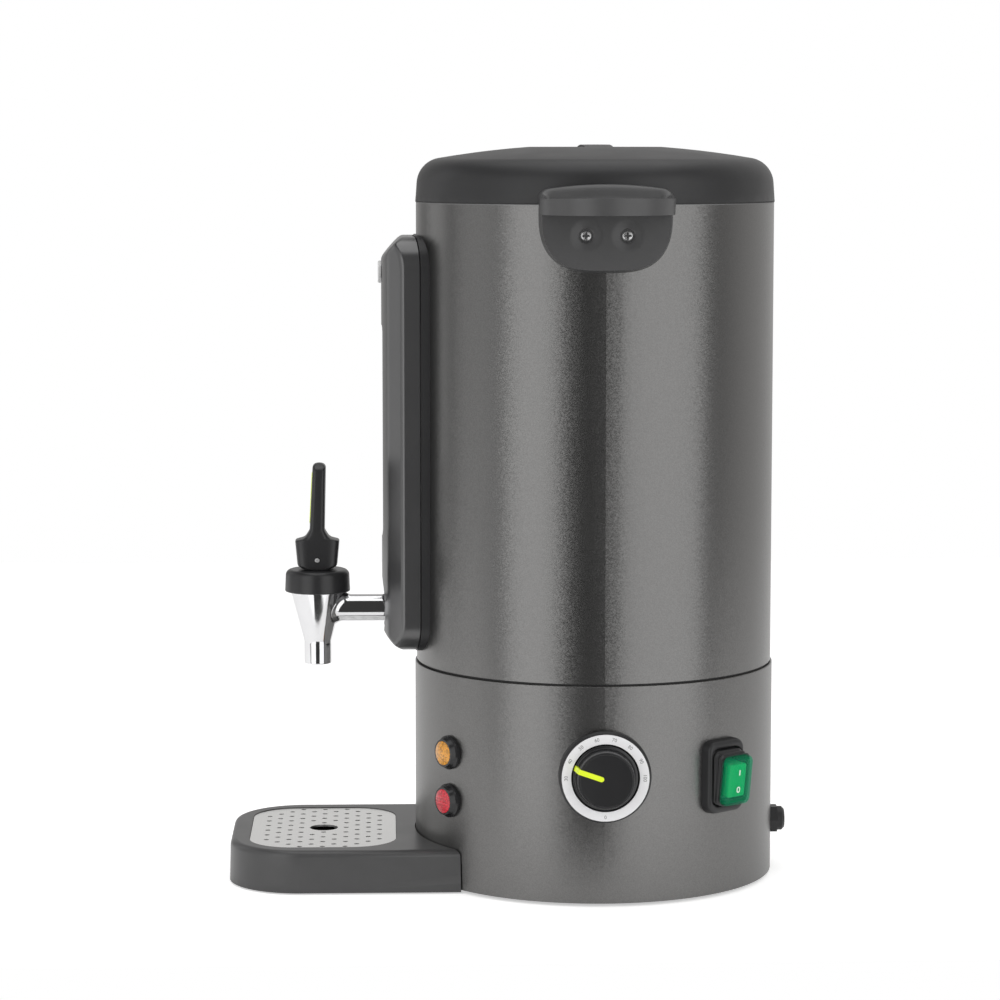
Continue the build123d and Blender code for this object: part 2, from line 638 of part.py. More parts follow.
def make_terminal_block():
    width, depth, height = TERMINAL_SIZE
    base = Pos(*TERMINAL_PLACE, DISH_TOP)
    body = base * Box(width, depth, height * 0.7, align=(Align.CENTER, Align.CENTER, Align.MIN))
    for i in (-1, 0, 1):
        tower = Box(width / 4.2, depth * 0.7, height, align=(Align.CENTER, Align.CENTER, Align.MIN))
        body += base * Pos(i * width / 3.2, 0, 0) * tower
        hole = Rot(90, 0, 0) * Cylinder(TERMINAL_HOLE_RADIUS, depth * 2)
        body -= base * Pos(i * width / 3.2, 0, height / 2) * hole
    return body


# ================================================================ thermostat, dial and knob
def make_thermostat():
    width, height, depth = THERMOSTAT_SIZE
    face = math.sqrt((BASE_RADIUS - BASE_WALL) ** 2 - (width / 2) ** 2) - SLIP
    neck_end = BASE_RADIUS + NECK_REACH
    body = block(width, height, face - depth, face, 3)
    body += bar(NECK_RADIUS, face, neck_end)
    body -= bar(SPINDLE_RADIUS + SLIP, face - SPINDLE_DEPTH, neck_end + PROUD)
    for side in (-1, 1):
        body += Pos(side * width / 4, 0, 0) * block(*BLADE[:2], face - depth - BLADE[2], face - depth)
    return facing(RIGHT, DIAL_HEIGHT) * body


def make_spindle():
    face = math.sqrt((BASE_RADIUS - BASE_WALL) ** 2 - (THERMOSTAT_SIZE[0] / 2) ** 2) - SLIP
    tip = BASE_RADIUS + KNOB_WELL + KNOB_HEIGHT - KNOB_WALL - SLIP
    shaft = bar(SPINDLE_RADIUS, face - SPINDLE_DEPTH + SLIP, tip)
    flat = Pos(0, SPINDLE_FLAT + SPINDLE_RADIUS, 0) * block(KNOB_RADIUS, 2 * SPINDLE_RADIUS, tip - FLAT_LENGTH,
                                                            tip + PROUD)
    return facing(RIGHT, DIAL_HEIGHT) * (shaft - flat)


def make_dial_bezel():
    shoulder = BASE_RADIUS + DIAL_THICK
    step = shoulder + DIAL_STEP
    well = KNOB_RADIUS + 2 * SLIP
    body = bar(DIAL_RADIUS, BASE_RADIUS - 6, shoulder)
    body = chamfer(body.edges().group_by(Axis.Z)[-1], 1.2)
    body += bar(DIAL_STEP_RADIUS, shoulder - PROUD, step)
    body -= bar(well, BASE_RADIUS + KNOB_WELL - SLIP, step + PROUD)
    body -= bar(NECK_RADIUS + FIT, BASE_RADIUS - 7, step)
    body = facing(RIGHT, DIAL_HEIGHT) * body
    return body - drum(BASE_RADIUS, BASE_BOTTOM, BASE_TOP)


def make_dial_ring():
    seat = BASE_RADIUS + DIAL_THICK + DIAL_STEP
    ring = tube(DIAL_STEP_RADIUS - 0.2, KNOB_RADIUS + 0.9, seat, seat + RING_THICK)
    return facing(RIGHT, DIAL_HEIGHT) * ring


def knob_form(grow):
    """The knob's outer form, grown or shrunk by a distance."""
    foot = BASE_RADIUS + KNOB_WELL
    top = foot + KNOB_HEIGHT + grow
    skirt = foot + KNOB_SKIRT
    form = turned((0, foot), (KNOB_RADIUS + grow, foot), (KNOB_RADIUS + grow - 0.3, skirt),
                  (KNOB_FACE_RADIUS + grow + 0.4, top), (0, top))
    return fillet(top_edges(form, top)[:1], 1.4)


def pointer_bar():
    """The upright bar whose overlap with the knob's skin makes the pointer."""
    length = KNOB_RADIUS + PROUD - POINTER_START
    bar_outline = SlotOverall(2 * length, POINTER_WIDTH)
    half = Rectangle(length, POINTER_WIDTH * 2, align=(Align.MIN, Align.CENTER))
    shape = Pos(POINTER_START + length, 0) * bar_outline & Pos(POINTER_START, 0) * half
    return Pos(0, 0, BASE_RADIUS + KNOB_WELL + KNOB_SKIRT) * extrude(shape, KNOB_HEIGHT)


def make_knob():
    foot = BASE_RADIUS + KNOB_WELL
    under_face = foot + KNOB_HEIGHT - KNOB_WALL
    hollow = turned((0, foot - PROUD), (KNOB_RADIUS - KNOB_WALL, foot - PROUD),
                    (KNOB_RADIUS - KNOB_WALL - 0.3, foot + KNOB_SKIRT),
                    (KNOB_FACE_RADIUS - KNOB_WALL + 0.4, under_face), (0, under_face))
    hub = bar(SPINDLE_RADIUS + 2.6, BASE_RADIUS + NECK_REACH + 2 * SLIP, under_face + 0.5)
    knob = knob_form(0) - hollow + hub
    bore = bar(SPINDLE_RADIUS + FIT, foot - PROUD, under_face)
    flat = Pos(0, SPINDLE_FLAT + FIT + SPINDLE_RADIUS, 0) * block(
        KNOB_RADIUS, 2 * SPINDLE_RADIUS, under_face - FLAT_LENGTH + 2 * SLIP, under_face)
    knob -= bore - flat
    groove = Rot(0, 0, POINTER_ANGLE) * pointer_bar()
    knob -= groove - knob_form(-POINTER_DEPTH)
    return facing(RIGHT, DIAL_HEIGHT) * knob


def make_knob_pointer():
    inlay = Rot(0, 0, POINTER_ANGLE) * pointer_bar() & knob_form(POINTER_PROUD)
    return facing(RIGHT, DIAL_HEIGHT) * (inlay - knob_form(-POINTER_DEPTH))


# ================================================================ lamps, switch and gland
def lamp_frames():
    return [facing(LAMP_ANGLE, height) for height in LAMP_HEIGHTS]


def make_lamp_bezels():
    top = BASE_RADIUS + LAMP_REACH
    cup = BASE_RADIUS + LAMP_REACH * 0.35
    body = turned((0, BASE_RADIUS - 3), (LAMP_RADIUS, BASE_RADIUS - 3), (LAMP_RADIUS, BASE_RADIUS + 1.6),
                  (LAMP_RADIUS - 0.8, BASE_RADIUS + 2.6), (LAMP_TOP_RADIUS, top),
                  (LAMP_LENS_RADIUS + FIT, top), (LAMP_LENS_RADIUS + FIT, cup), (0, cup))
    skin = drum(BASE_RADIUS, BASE_BOTTOM, BASE_TOP)
    stem = bar(LAMP_TUBE_RADIUS, BASE_RADIUS - LAMP_TUBE_LENGTH, cup)
    return [(frame * body - skin) + frame * stem for frame in lamp_frames()]


def make_lens(frame):
    cup = BASE_RADIUS + LAMP_REACH * 0.35
    rim = BASE_RADIUS + LAMP_REACH + 0.2
    side = Polyline((0, 0, rim + LAMP_DOME), (0, 0, cup), (LAMP_LENS_RADIUS, 0, cup),
                    (LAMP_LENS_RADIUS, 0, rim))
    ball = (LAMP_LENS_RADIUS ** 2 + LAMP_DOME ** 2) / (2 * LAMP_DOME)
    half = LAMP_LENS_RADIUS / 2
    bulge = rim + LAMP_DOME - ball + math.sqrt(ball ** 2 - half ** 2)
    dome = ThreePointArc((LAMP_LENS_RADIUS, 0, rim), (half, 0, bulge), (0, 0, rim + LAMP_DOME))
    return frame * revolve(make_face(side + dome), Axis.Z)


def make_lamp_nuts():
    face = math.sqrt((BASE_RADIUS - BASE_WALL) ** 2 - LAMP_NUT_RADIUS ** 2) - FIT
    nut = hexagon(LAMP_NUT_RADIUS, face - 4, face) - bar(LAMP_TUBE_RADIUS + FIT, face - 5, face + PROUD)
    return [frame * nut for frame in lamp_frames()]


def make_switch_frame():
    face = BASE_RADIUS + SWITCH_FRAME_THICK
    body = block(*SWITCH_FRAME, BASE_RADIUS - 5, face, SWITCH_FRAME_CORNER)
    body = fillet(body.edges().group_by(Axis.Z)[-1], 1.6)
    body -= block(*SWITCH_WINDOW, BASE_RADIUS - 6, face + PROUD, BOOT_CORNER + 1)
    return facing(SWITCH_ANGLE, SWITCH_HEIGHT) * body - drum(BASE_RADIUS, BASE_BOTTOM, BASE_TOP)


def make_switch_body():
    face, pivot = BASE_RADIUS - SWITCH_SINK, BASE_RADIUS + ROCKER_PIVOT
    body = block(*SWITCH_BODY, BASE_RADIUS - SWITCH_BODY_DEPTH, face)
    for side in (-1, 1):
        cheek = block(TRUNNION_CHEEK, 5, face - PROUD, pivot + 1.4)
        body += Pos(side * (TRUNNION_TONGUE / 2 + SLIP + TRUNNION_CHEEK / 2), 0, 0) * cheek
    body -= Pos(0, 0, pivot) * trunnion(TRUNNION_RADIUS + TRUNNION_FIT, SWITCH_BODY[0] - 2)
    back = BASE_RADIUS - SWITCH_BODY_DEPTH
    for x in (-1, 1):
        for y in (-1, 1):
            blade = block(BLADE[1], BLADE[0], back - BLADE[2], back)
            body += Pos(x * SWITCH_BODY[0] / 4, y * SWITCH_BODY[1] / 4, 0) * blade
    return facing(SWITCH_ANGLE, SWITCH_HEIGHT) * body


def trunnion(radius, length):
    return Rot(0, 90, 0) * Cylinder(radius, length)


def switch_tilt():
    """Rest is the off position: the rocker's lower end is in and its upper end out."""
    pivot = BASE_RADIUS + ROCKER_PIVOT
    return facing(SWITCH_ANGLE, SWITCH_HEIGHT) * Pos(0, 0, pivot) * Rot(ROCKER_TILT, 0, 0) * Pos(0, 0, -pivot)


def make_switch_rocker():
    foot, top = BASE_RADIUS + ROCKER_FOOT, BASE_RADIUS + ROCKER_TOP
    body = block(*ROCKER_SIZE, foot, top, 1.5)
    body = fillet(body.edges().group_by(Axis.Z)[-1], 0.8)
    pivot = BASE_RADIUS + ROCKER_PIVOT
    knuckle = 1.9 * TRUNNION_RADIUS
    body += block(TRUNNION_TONGUE, 2 * knuckle, pivot, foot + PROUD)
    body += Pos(0, 0, pivot) * (trunnion(knuckle, TRUNNION_TONGUE)
                                + trunnion(TRUNNION_RADIUS, TRUNNION_TONGUE + 2 * (SLIP + TRUNNION_CHEEK)))
    return switch_tilt() * body


def make_switch_boot():
    foot, top = BASE_RADIUS + BOOT_FOOT, BASE_RADIUS + ROCKER_TOP + SLIP + BOOT_WALL
    outer = block(*BOOT_SIZE, foot, top, BOOT_CORNER)
    outer = fillet(outer.edges().group_by(Axis.Z)[-1], 1.6)
    inner = block(BOOT_SIZE[0] - 2 * BOOT_WALL, BOOT_SIZE[1] - 2 * BOOT_WALL, foot - PROUD, top - BOOT_WALL,
                  BOOT_CORNER - BOOT_WALL)
    return switch_tilt() * (outer - inner)


def make_cord_gland():
    skin = math.sqrt(BASE_RADIUS ** 2 - GLAND_HEX_RADIUS ** 2)
    nose = BASE_RADIUS + GLAND_REACH
    wide, collar = GLAND_HEX_RADIUS - GLAND_STEP, BASE_RADIUS + GLAND_REACH / 2
    body = hexagon(GLAND_HEX_RADIUS, skin - PROUD, collar)
    body += turned((0, collar - PROUD), (wide, collar - PROUD), (wide, nose - GLAND_STEP),
                   (wide - GLAND_STEP, nose), (0, nose))
    frame = facing(REAR, GLAND_HEIGHT)
    shape = frame * body - drum(BASE_RADIUS, BASE_BOTTOM, BASE_TOP)
    shape += frame * bar(GLAND_THREAD_RADIUS, BASE_RADIUS - GLAND_TAIL, BASE_RADIUS + PROUD)
    return shape - frame * bar(GLAND_BORE_RADIUS, BASE_RADIUS - GLAND_TAIL - PROUD, nose + PROUD)


def make_gland_nut():
    face = math.sqrt((BASE_RADIUS - BASE_WALL) ** 2 - GLAND_HEX_RADIUS ** 2) - FIT
    low = face - GLAND_NUT_THICK
    nut = hexagon(GLAND_HEX_RADIUS, low, face) - bar(GLAND_THREAD_RADIUS + FIT, low - PROUD, face + PROUD)
    return facing(REAR, GLAND_HEIGHT) * nut


# ================================================================ handles
def handle_profile():
    """The handle from the side, as (distance from the urn's axis, height)."""
    inner = JACKET_RADIUS - HANDLE_ROOT
    plate = JACKET_RADIUS + HANDLE_PLATE
    foot, top = (plate - HANDLE_TAPER, 0, HANDLE_BOTTOM), (plate + HANDLE_TAPER, 0, HANDLE_TOP)
    tip = HANDLE_LIP_CENTRE + HANDLE_LIP_RADIUS
    lip_low = HANDLE_LIP_TOP - HANDLE_LIP_HEIGHT
    up = Polyline(foot, (inner, 0, HANDLE_BOTTOM), (inner, 0, HANDLE_TOP), top)
    dish = ThreePointArc(top,
                         ((plate + tip) / 2, 0, (HANDLE_TOP + HANDLE_LIP_TOP) / 2 - HANDLE_DISH),
                         (tip, 0, HANDLE_LIP_TOP))
    edge = (tip - HANDLE_LIP_EDGE, 0, lip_low - HANDLE_TAPER)
    root = (plate, 0, lip_low - HANDLE_ROOT)
    lip = Polyline((tip, 0, HANDLE_LIP_TOP), (tip, 0, lip_low), edge)
    hollow = ThreePointArc(edge, (plate + 3 * HANDLE_LIP_EDGE, 0, lip_low - HANDLE_ROOT / 4), root)
    face = ThreePointArc(root, (plate - 2 * HANDLE_TAPER, 0, lip_low - 2 * HANDLE_ROOT), foot)
    return make_face(up + dish + lip + hollow + face)


def make_handle():
    """The right handle; the left one is the same piece turned half round."""
    body = extrude(handle_profile(), HANDLE_WIDTH / 2, both=True)
    front = RectangleRounded(HANDLE_WIDTH, HANDLE_HEIGHT + HANDLE_CORNER, HANDLE_CORNER)
    tip = HANDLE_LIP_CENTRE + HANDLE_LIP_RADIUS
    low_corners = facing(RIGHT, (HANDLE_TOP + HANDLE_BOTTOM + HANDLE_CORNER) / 2) * block_of(
        front, JACKET_RADIUS - 2 * HANDLE_ROOT, tip + PROUD)
    body &= low_corners
    plan = Pos(HANDLE_LIP_CENTRE, 0) * (Circle(HANDLE_LIP_RADIUS) + Rectangle(
        HANDLE_WIDTH, HANDLE_WIDTH, align=(Align.MAX, Align.CENTER)))
    body &= Pos(0, 0, HANDLE_BOTTOM - PROUD) * extrude(plan, HANDLE_TOP - HANDLE_BOTTOM + 2 * PROUD)
    body -= drum(JACKET_RADIUS, HANDLE_BOTTOM - PROUD, HANDLE_TOP + PROUD)
    body -= drum(LID_RADIUS + HANDLE_LID_GAP, JACKET_TOP, HANDLE_TOP + PROUD)
    for across in (-1, 1):
        frame = facing(RIGHT, HANDLE_TOP - SCREW_DROP) * Pos(across * SCREW_SPACING / 2, 0, 0)
        body -= frame * bar(SCREW_RADIUS + FIT, POT_RADIUS, tip)
        body -= frame * bar(SCREW_HEAD_RADIUS + SLIP, screw_seat(), tip)
    return body


def block_of(sketch, near, far):
    return Pos(0, 0, near) * extrude(sketch, far - near)


def screw_seat():
    """Where a handle screw's head sits, along its own axis."""
    return JACKET_RADIUS + HANDLE_PLATE - SCREW_HEAD - SCREW_SINK


def make_handle_screws():
    seat = screw_seat()
    screws = []
    for frame in handle_screw_frames():
        head = bar(SCREW_HEAD_RADIUS, seat, seat + SCREW_HEAD)
        head = fillet(head.edges().group_by(Axis.Z)[-1], 1.0)
        cross = sum([Rot(0, 0, turn) * block(*SCREW_CROSS, seat + SCREW_HEAD - SCREW_CROSS_DEPTH,
                                             seat + SCREW_HEAD + PROUD) for turn in (0, 90)], Part())
        shank = bar(SCREW_RADIUS, JACKET_RADIUS - JACKET_WALL - NUT_PLATE[2] - SCREW_TAIL, seat)
        screws.append(frame * (head + shank - cross))
    return screws


def make_nut_plates():
    plates = []
    width, height, thick = NUT_PLATE
    inner = JACKET_RADIUS - JACKET_WALL - FIT
    for side in (RIGHT, LEFT):
        blank = block(width, height, POT_RADIUS - thick, JACKET_RADIUS, thick)
        band = tube(inner, inner - thick, HANDLE_BOTTOM, HANDLE_TOP)
        plate = facing(side, HANDLE_TOP - SCREW_DROP) * blank & band
        for across in (-1, 1):
            frame = facing(side, HANDLE_TOP - SCREW_DROP) * Pos(across * SCREW_SPACING / 2, 0, 0)
            plate -= frame * bar(SCREW_RADIUS + FIT, POT_RADIUS - thick, JACKET_RADIUS)
        plates.append(plate)
    return plates


# ================================================================ sight gauge
def gauge_outline(inset):
    """The gauge housing seen from the front."""
    height = GAUGE_TOP - GAUGE_BOTTOM
    return RectangleRounded(2 * (GAUGE_HALF - inset), height - 2 * inset, GAUGE_CORNER - inset)


def gauge_prism(inset, near, far):
    return facing(FRONT, (GAUGE_TOP + GAUGE_BOTTOM) / 2) * block_of(gauge_outline(inset), near, far)


def parting_drum(grow):
    """The gently curved surface where the cover meets the back, as a large drum."""
    radius = (GAUGE_HALF ** 2 + GAUGE_PART_RISE ** 2) / (2 * GAUGE_PART_RISE)
    return Pos(0, radius - GAUGE_PART_CROWN) * drum(radius + grow, GAUGE_BOTTOM - PROUD, GAUGE_TOP + PROUD)


def make_gauge_back():
    body = gauge_prism(0, GAUGE_ROOT, GAUGE_CROWN) & parting_drum(0)
    body -= drum(JACKET_RADIUS, GAUGE_BOTTOM - PROUD, GAUGE_TOP + PROUD)
    low = TAP_SHANK_HEIGHT - SPACER_RADIUS - SLIP
    room = MANIFOLD_WIDTH + 2 * GAUGE_WALL
    room = block(room, TUBE_LOW - low, GAUGE_ROOT, GAUGE_CROWN, GAUGE_WALL)
    body -= facing(FRONT, (TUBE_LOW + low) / 2) * room
    return body - facing(FRONT, CAP_HEIGHT) * bar(SCREW_RADIUS + FIT, GAUGE_ROOT, GAUGE_CROWN)


def gauge_plan(inset):
    """The cover's level section: a crowned front, sloping shoulders and nearly upright sides."""
    half, shoulder = GAUGE_HALF - COVER_STEP - inset, GAUGE_SHOULDER_HALF - inset
    crown_half = GAUGE_CROWN_HALF - inset * 0.6
    edge, slope = GAUGE_CROWN_EDGE - inset, GAUGE_SHOULDER - inset * 0.5
    sides = Polyline((crown_half, -edge), (shoulder, -slope), (half, -GAUGE_PART_EDGE), (half, -GAUGE_ROOT),
                     (-half, -GAUGE_ROOT), (-half, -GAUGE_PART_EDGE), (-shoulder, -slope),
                     (-crown_half, -edge))
    crown = ThreePointArc((-crown_half, -edge), (0, -(GAUGE_CROWN - inset)), (crown_half, -edge))
    return make_face(sides + crown)


def gauge_side(inset):
    """The cover from the side: its ends slope back from the front face."""
    low, high = GAUGE_BOTTOM + inset, GAUGE_TOP - inset
    slope, front = GAUGE_END_SLOPE, GAUGE_CROWN - inset + PROUD
    shoulder = GAUGE_SHOULDER - inset * 0.5 + PROUD
    outline = Polyline((0, -GAUGE_ROOT, low), (0, -shoulder, low), (0, -front, low + slope),
                       (0, -front, high - slope), (0, -shoulder, high), (0, -GAUGE_ROOT, high), close=True)
    return extrude(make_face(outline), GAUGE_HALF, both=True)


def gauge_form(inset):
    form = Pos(0, 0, GAUGE_BOTTOM) * extrude(gauge_plan(inset), GAUGE_HEIGHT)
    return form & gauge_side(inset) & gauge_prism(inset + COVER_STEP, GAUGE_ROOT, GAUGE_CROWN + PROUD)


def make_gauge_cover():
    body = gauge_form(0) - gauge_form(GAUGE_WALL) - parting_drum(FIT)
    middle = (WINDOW_HIGH + WINDOW_LOW) / 2
    tall = WINDOW_HIGH - WINDOW_LOW
    floor, brim = GAUGE_CROWN - GAUGE_DISH, GAUGE_CROWN + PROUD
    body -= facing(FRONT, middle) * block(2 * WINDOW_HALF, tall, GAUGE_ROOT, brim, WINDOW_CORNER)
    frame = facing(FRONT, TAP_SHANK_HEIGHT)
    body += frame * bar(SPACER_RADIUS + GAUGE_WALL, floor - GAUGE_WALL, floor + PROUD) & gauge_form(0)
    body -= frame * turned((0, floor), (SPACER_RADIUS, floor), (SPACER_RADIUS + GAUGE_DISH_FLARE, brim),
                           (0, brim))
    body -= frame * bar(TAP_SHANK_RADIUS + FIT, GAUGE_ROOT, GAUGE_CROWN)
    frame = facing(FRONT, CAP_HEIGHT)
    body += frame * bar(SCREW_RADIUS + GAUGE_WALL, GAUGE_PART_CROWN + FIT, GAUGE_CROWN - GAUGE_WALL / 4)
    body -= frame * bar(SCREW_RADIUS + FIT, GAUGE_ROOT, GAUGE_CROWN)
    return body - frame * bar(SCREW_HEAD_RADIUS + FIT, GAUGE_CROWN - COVER_SCREW_SINK, GAUGE_CROWN + PROUD)


def make_gauge_window():
    front = GAUGE_CROWN - WINDOW_RECESS
    middle = (WINDOW_HIGH + WINDOW_LOW) / 2
    tall = WINDOW_HIGH - WINDOW_LOW
    pane = facing(FRONT, middle) * block(2 * (WINDOW_HALF - FIT), tall - 2 * FIT, front - 3 * WINDOW_THICK,
                                         GAUGE_CROWN, WINDOW_CORNER - FIT)
    radius = (GAUGE_CROWN_HALF ** 2 + GAUGE_CROWN_FALL ** 2) / (2 * GAUGE_CROWN_FALL)
    outer = Pos(0, radius - front) * drum(radius, WINDOW_LOW, WINDOW_HIGH)
    inner = Pos(0, radius - front) * drum(radius - WINDOW_THICK, WINDOW_LOW - PROUD, WINDOW_HIGH + PROUD)
    return (pane & outer) - inner


def make_gauge_tube():
    return Pos(0, -TUBE_FROM_AXIS) * tube(TUBE_RADIUS, TUBE_BORE, TUBE_LOW, TUBE_HIGH)


def make_gauge_manifold():
    low, high, cup = TAP_SHANK_HEIGHT - MANIFOLD_DROP, TUBE_LOW, TUBE_LOW + MANIFOLD_CUP
    near, far = GAUGE_PART_CROWN + SLIP, GAUGE_CROWN - GAUGE_DISH - GAUGE_WALL - SLIP
    body = facing(FRONT, (low + high) / 2) * block(MANIFOLD_WIDTH, high - low, near, far, GAUGE_WALL)
    body += Pos(0, -TUBE_FROM_AXIS) * drum(TUBE_RADIUS + 2 * SEAL_WALL, high - GAUGE_WALL, cup)
    body -= facing(FRONT, TAP_SHANK_HEIGHT) * bar(TAP_SHANK_RADIUS + FIT, near - PROUD, far + PROUD)
    body -= Pos(0, -TUBE_FROM_AXIS) * drum(TUBE_BORE * 0.8, TAP_SHANK_HEIGHT, cup)
    return body - Pos(0, -TUBE_FROM_AXIS) * drum(TUBE_RADIUS + SEAL_WALL + FIT, high, cup + PROUD)


def make_tube_seals():
    outer, inner = TUBE_RADIUS + SEAL_WALL, TUBE_RADIUS + FIT / 2
    lower = Pos(0, -TUBE_FROM_AXIS) * tube(outer, inner, TUBE_LOW + 2 * FIT, TUBE_LOW + MANIFOLD_CUP - PROUD)
    upper = Pos(0, -TUBE_FROM_AXIS) * tube(outer, inner, TUBE_HIGH - PLUG_GRIP + PROUD, TUBE_HIGH)
    return [lower, upper]


def make_tube_plug():
    low = TUBE_HIGH - PLUG_GRIP
    top = low + PLUG_HEIGHT
    body = Pos(0, -TUBE_FROM_AXIS) * drum(PLUG_RADIUS, low, top)
    body -= Pos(0, -TUBE_FROM_AXIS) * drum(TUBE_RADIUS + SEAL_WALL + FIT, low - PROUD, TUBE_HIGH + FIT)
    body -= Pos(0, -TUBE_FROM_AXIS) * drum(PLUG_RADIUS / 5, low, top + PROUD)
    arm = block(3 * PLUG_RADIUS, top - TUBE_HIGH, GAUGE_PART_CROWN + FIT, TUBE_FROM_AXIS - PLUG_RADIUS / 2)
    return body + facing(FRONT, (TUBE_HIGH + top) / 2) * arm


def make_cover_cap():
    front = GAUGE_CROWN + CAP_PROUD
    cap = bar(CAP_RADIUS, GAUGE_CROWN + FIT, front)
    cap = fillet(cap.edges().group_by(Axis.Z)[-1], 0.8)
    peg = bar(SCREW_HEAD_RADIUS, GAUGE_CROWN - CAP_PEG, GAUGE_CROWN + PROUD)
    return facing(FRONT, CAP_HEIGHT) * (cap + peg)


def make_cover_screw():
    seat = GAUGE_CROWN - COVER_SCREW_SINK
    head = bar(SCREW_HEAD_RADIUS, seat, seat + SCREW_HEAD)
    shank = bar(SCREW_RADIUS, JACKET_RADIUS - JACKET_WALL - SCREW_HEAD, seat)
    return facing(FRONT, CAP_HEIGHT) * (head + shank)


# ================================================================ tap
def tap_axis(shape):
    return Pos(0, -TAP_FROM_AXIS) * shape


def make_tap_body():
    neck_top = TAP_CONE_TOP + TAP_NECK_HEIGHT
    seat_low, seat_top = TAP_SPOUT_TOP, TAP_SPOUT_TOP + SEAT_DEPTH
    cone = turned((0, TAP_SPOUT_BOTTOM), (TAP_SPOUT_RADIUS, TAP_SPOUT_BOTTOM),
                  (TAP_SPOUT_RADIUS, TAP_SPOUT_TOP), (TAP_CONE_RADIUS, TAP_CONE_TOP),
                  (TAP_NECK_RADIUS, TAP_CONE_TOP), (TAP_NECK_RADIUS, neck_top), (0, neck_top))
    shank = facing(FRONT, TAP_SHANK_HEIGHT) * bar(TAP_SHANK_RADIUS, SHANK_END, TAP_FROM_AXIS - TAP_SHANK_STOP)
    body = tap_axis(cone) + shank
    hollow = turned((0, TAP_SPOUT_BOTTOM - PROUD), (TAP_SPOUT_BORE, TAP_SPOUT_BOTTOM - PROUD),
                    (TAP_SPOUT_BORE, seat_low), (seat_radius(seat_top), seat_top),
                    (TAP_CONE_RADIUS - TAP_WALL, TAP_CONE_TOP - TAP_NECK_HEIGHT),
                    (TAP_CONE_RADIUS - TAP_WALL, neck_top + PROUD), (0, neck_top + PROUD))
    body -= tap_axis(hollow)
    shank_bore = bar(TAP_SHANK_BORE, SHANK_END - PROUD, TAP_FROM_AXIS - 1.5 * TAP_SHANK_STOP)
    return body - facing(FRONT, TAP_SHANK_HEIGHT) * shank_bore


def seat_radius(height):
    """Radius of the valve seat's cone at a height."""
    return TAP_SPOUT_BORE + (height - TAP_SPOUT_TOP) * SEAT_SLOPE


def make_tap_bonnet():
    top, low = BONNET_TOP, BONNET_BOTTOM
    under = TAP_CONE_TOP + TAP_NECK_HEIGHT + FIT
    body = turned((0, low), (BONNET_RADIUS, low), (BONNET_RADIUS - BONNET_DRAFT, top), (0, top))
    body = fillet(top_edges(body, top)[:1], BONNET_ROUND)
    body = fillet(top_edges(body, low)[:1], BONNET_DRAFT)
    well = drum(TAP_NECK_RADIUS + FIT, low - PROUD, under)
    body -= well
    body -= drum(STEM_RADIUS + FIT, low, top + PROUD)
    return tap_axis(body)


def spring_ends():
    return TAP_SPOUT_TOP + SEAT_DEPTH + SPRING_LIFT, TAP_CONE_TOP + TAP_NECK_HEIGHT - FIT


def make_tap_spring():
    low, high = spring_ends()
    height = high - low - 2 * SPRING_WIRE
    coil = Helix(pitch=height / SPRING_TURNS, height=height, radius=SPRING_RADIUS)
    path = Pos(0, 0, low + SPRING_WIRE) * coil
    start = Plane(origin=path @ 0, z_dir=path % 0)
    return tap_axis(sweep(start * Circle(SPRING_WIRE), path, is_frenet=True))


def make_tap_stem():
    foot = TAP_SPOUT_TOP + SEAT_LIFT
    stem = drum(STEM_RADIUS, foot, PIN_HEIGHT - PROUD)
    eye = Pos(0, 0, PIN_HEIGHT) * Rot(0, 90, 0) * Cylinder(STEM_EYE_RADIUS, 2 * STEM_RADIUS)
    hole = Pos(0, 0, PIN_HEIGHT) * Rot(0, 90, 0) * Cylinder(PIN_RADIUS + PIN_FIT, 6 * STEM_RADIUS)
    return tap_axis(stem + eye - hole)


def make_tap_seat():
    low, top = TAP_SPOUT_TOP + PROUD, TAP_SPOUT_TOP + SEAT_DEPTH + SEAT_SKIRT
    foot = TAP_SPOUT_TOP + SEAT_LIFT - FIT
    brim = seat_radius(top - SEAT_SKIRT) - SLIP
    plug = turned((0, low), (seat_radius(low) - SLIP, low), (brim, top - SEAT_SKIRT), (brim, top),
                  (STEM_RADIUS + FIT, top), (STEM_RADIUS + FIT, foot), (0, foot))
    return tap_axis(plug)


def cam_point(angle, side):
    """A point of the lever's foot, seen from the side, as (forward, up) from the pin.

    The foot's reach below the pin grows by the same amount for each degree of tilt, so it stays on the
    bonnet while the stem rises."""
    reach = CAM_FOOT + CAM_RISE * angle
    forward = reach * math.sin(angle) + CAM_RISE * math.cos(angle)
    return side * forward, -reach * math.cos(angle) + CAM_RISE * math.sin(angle)


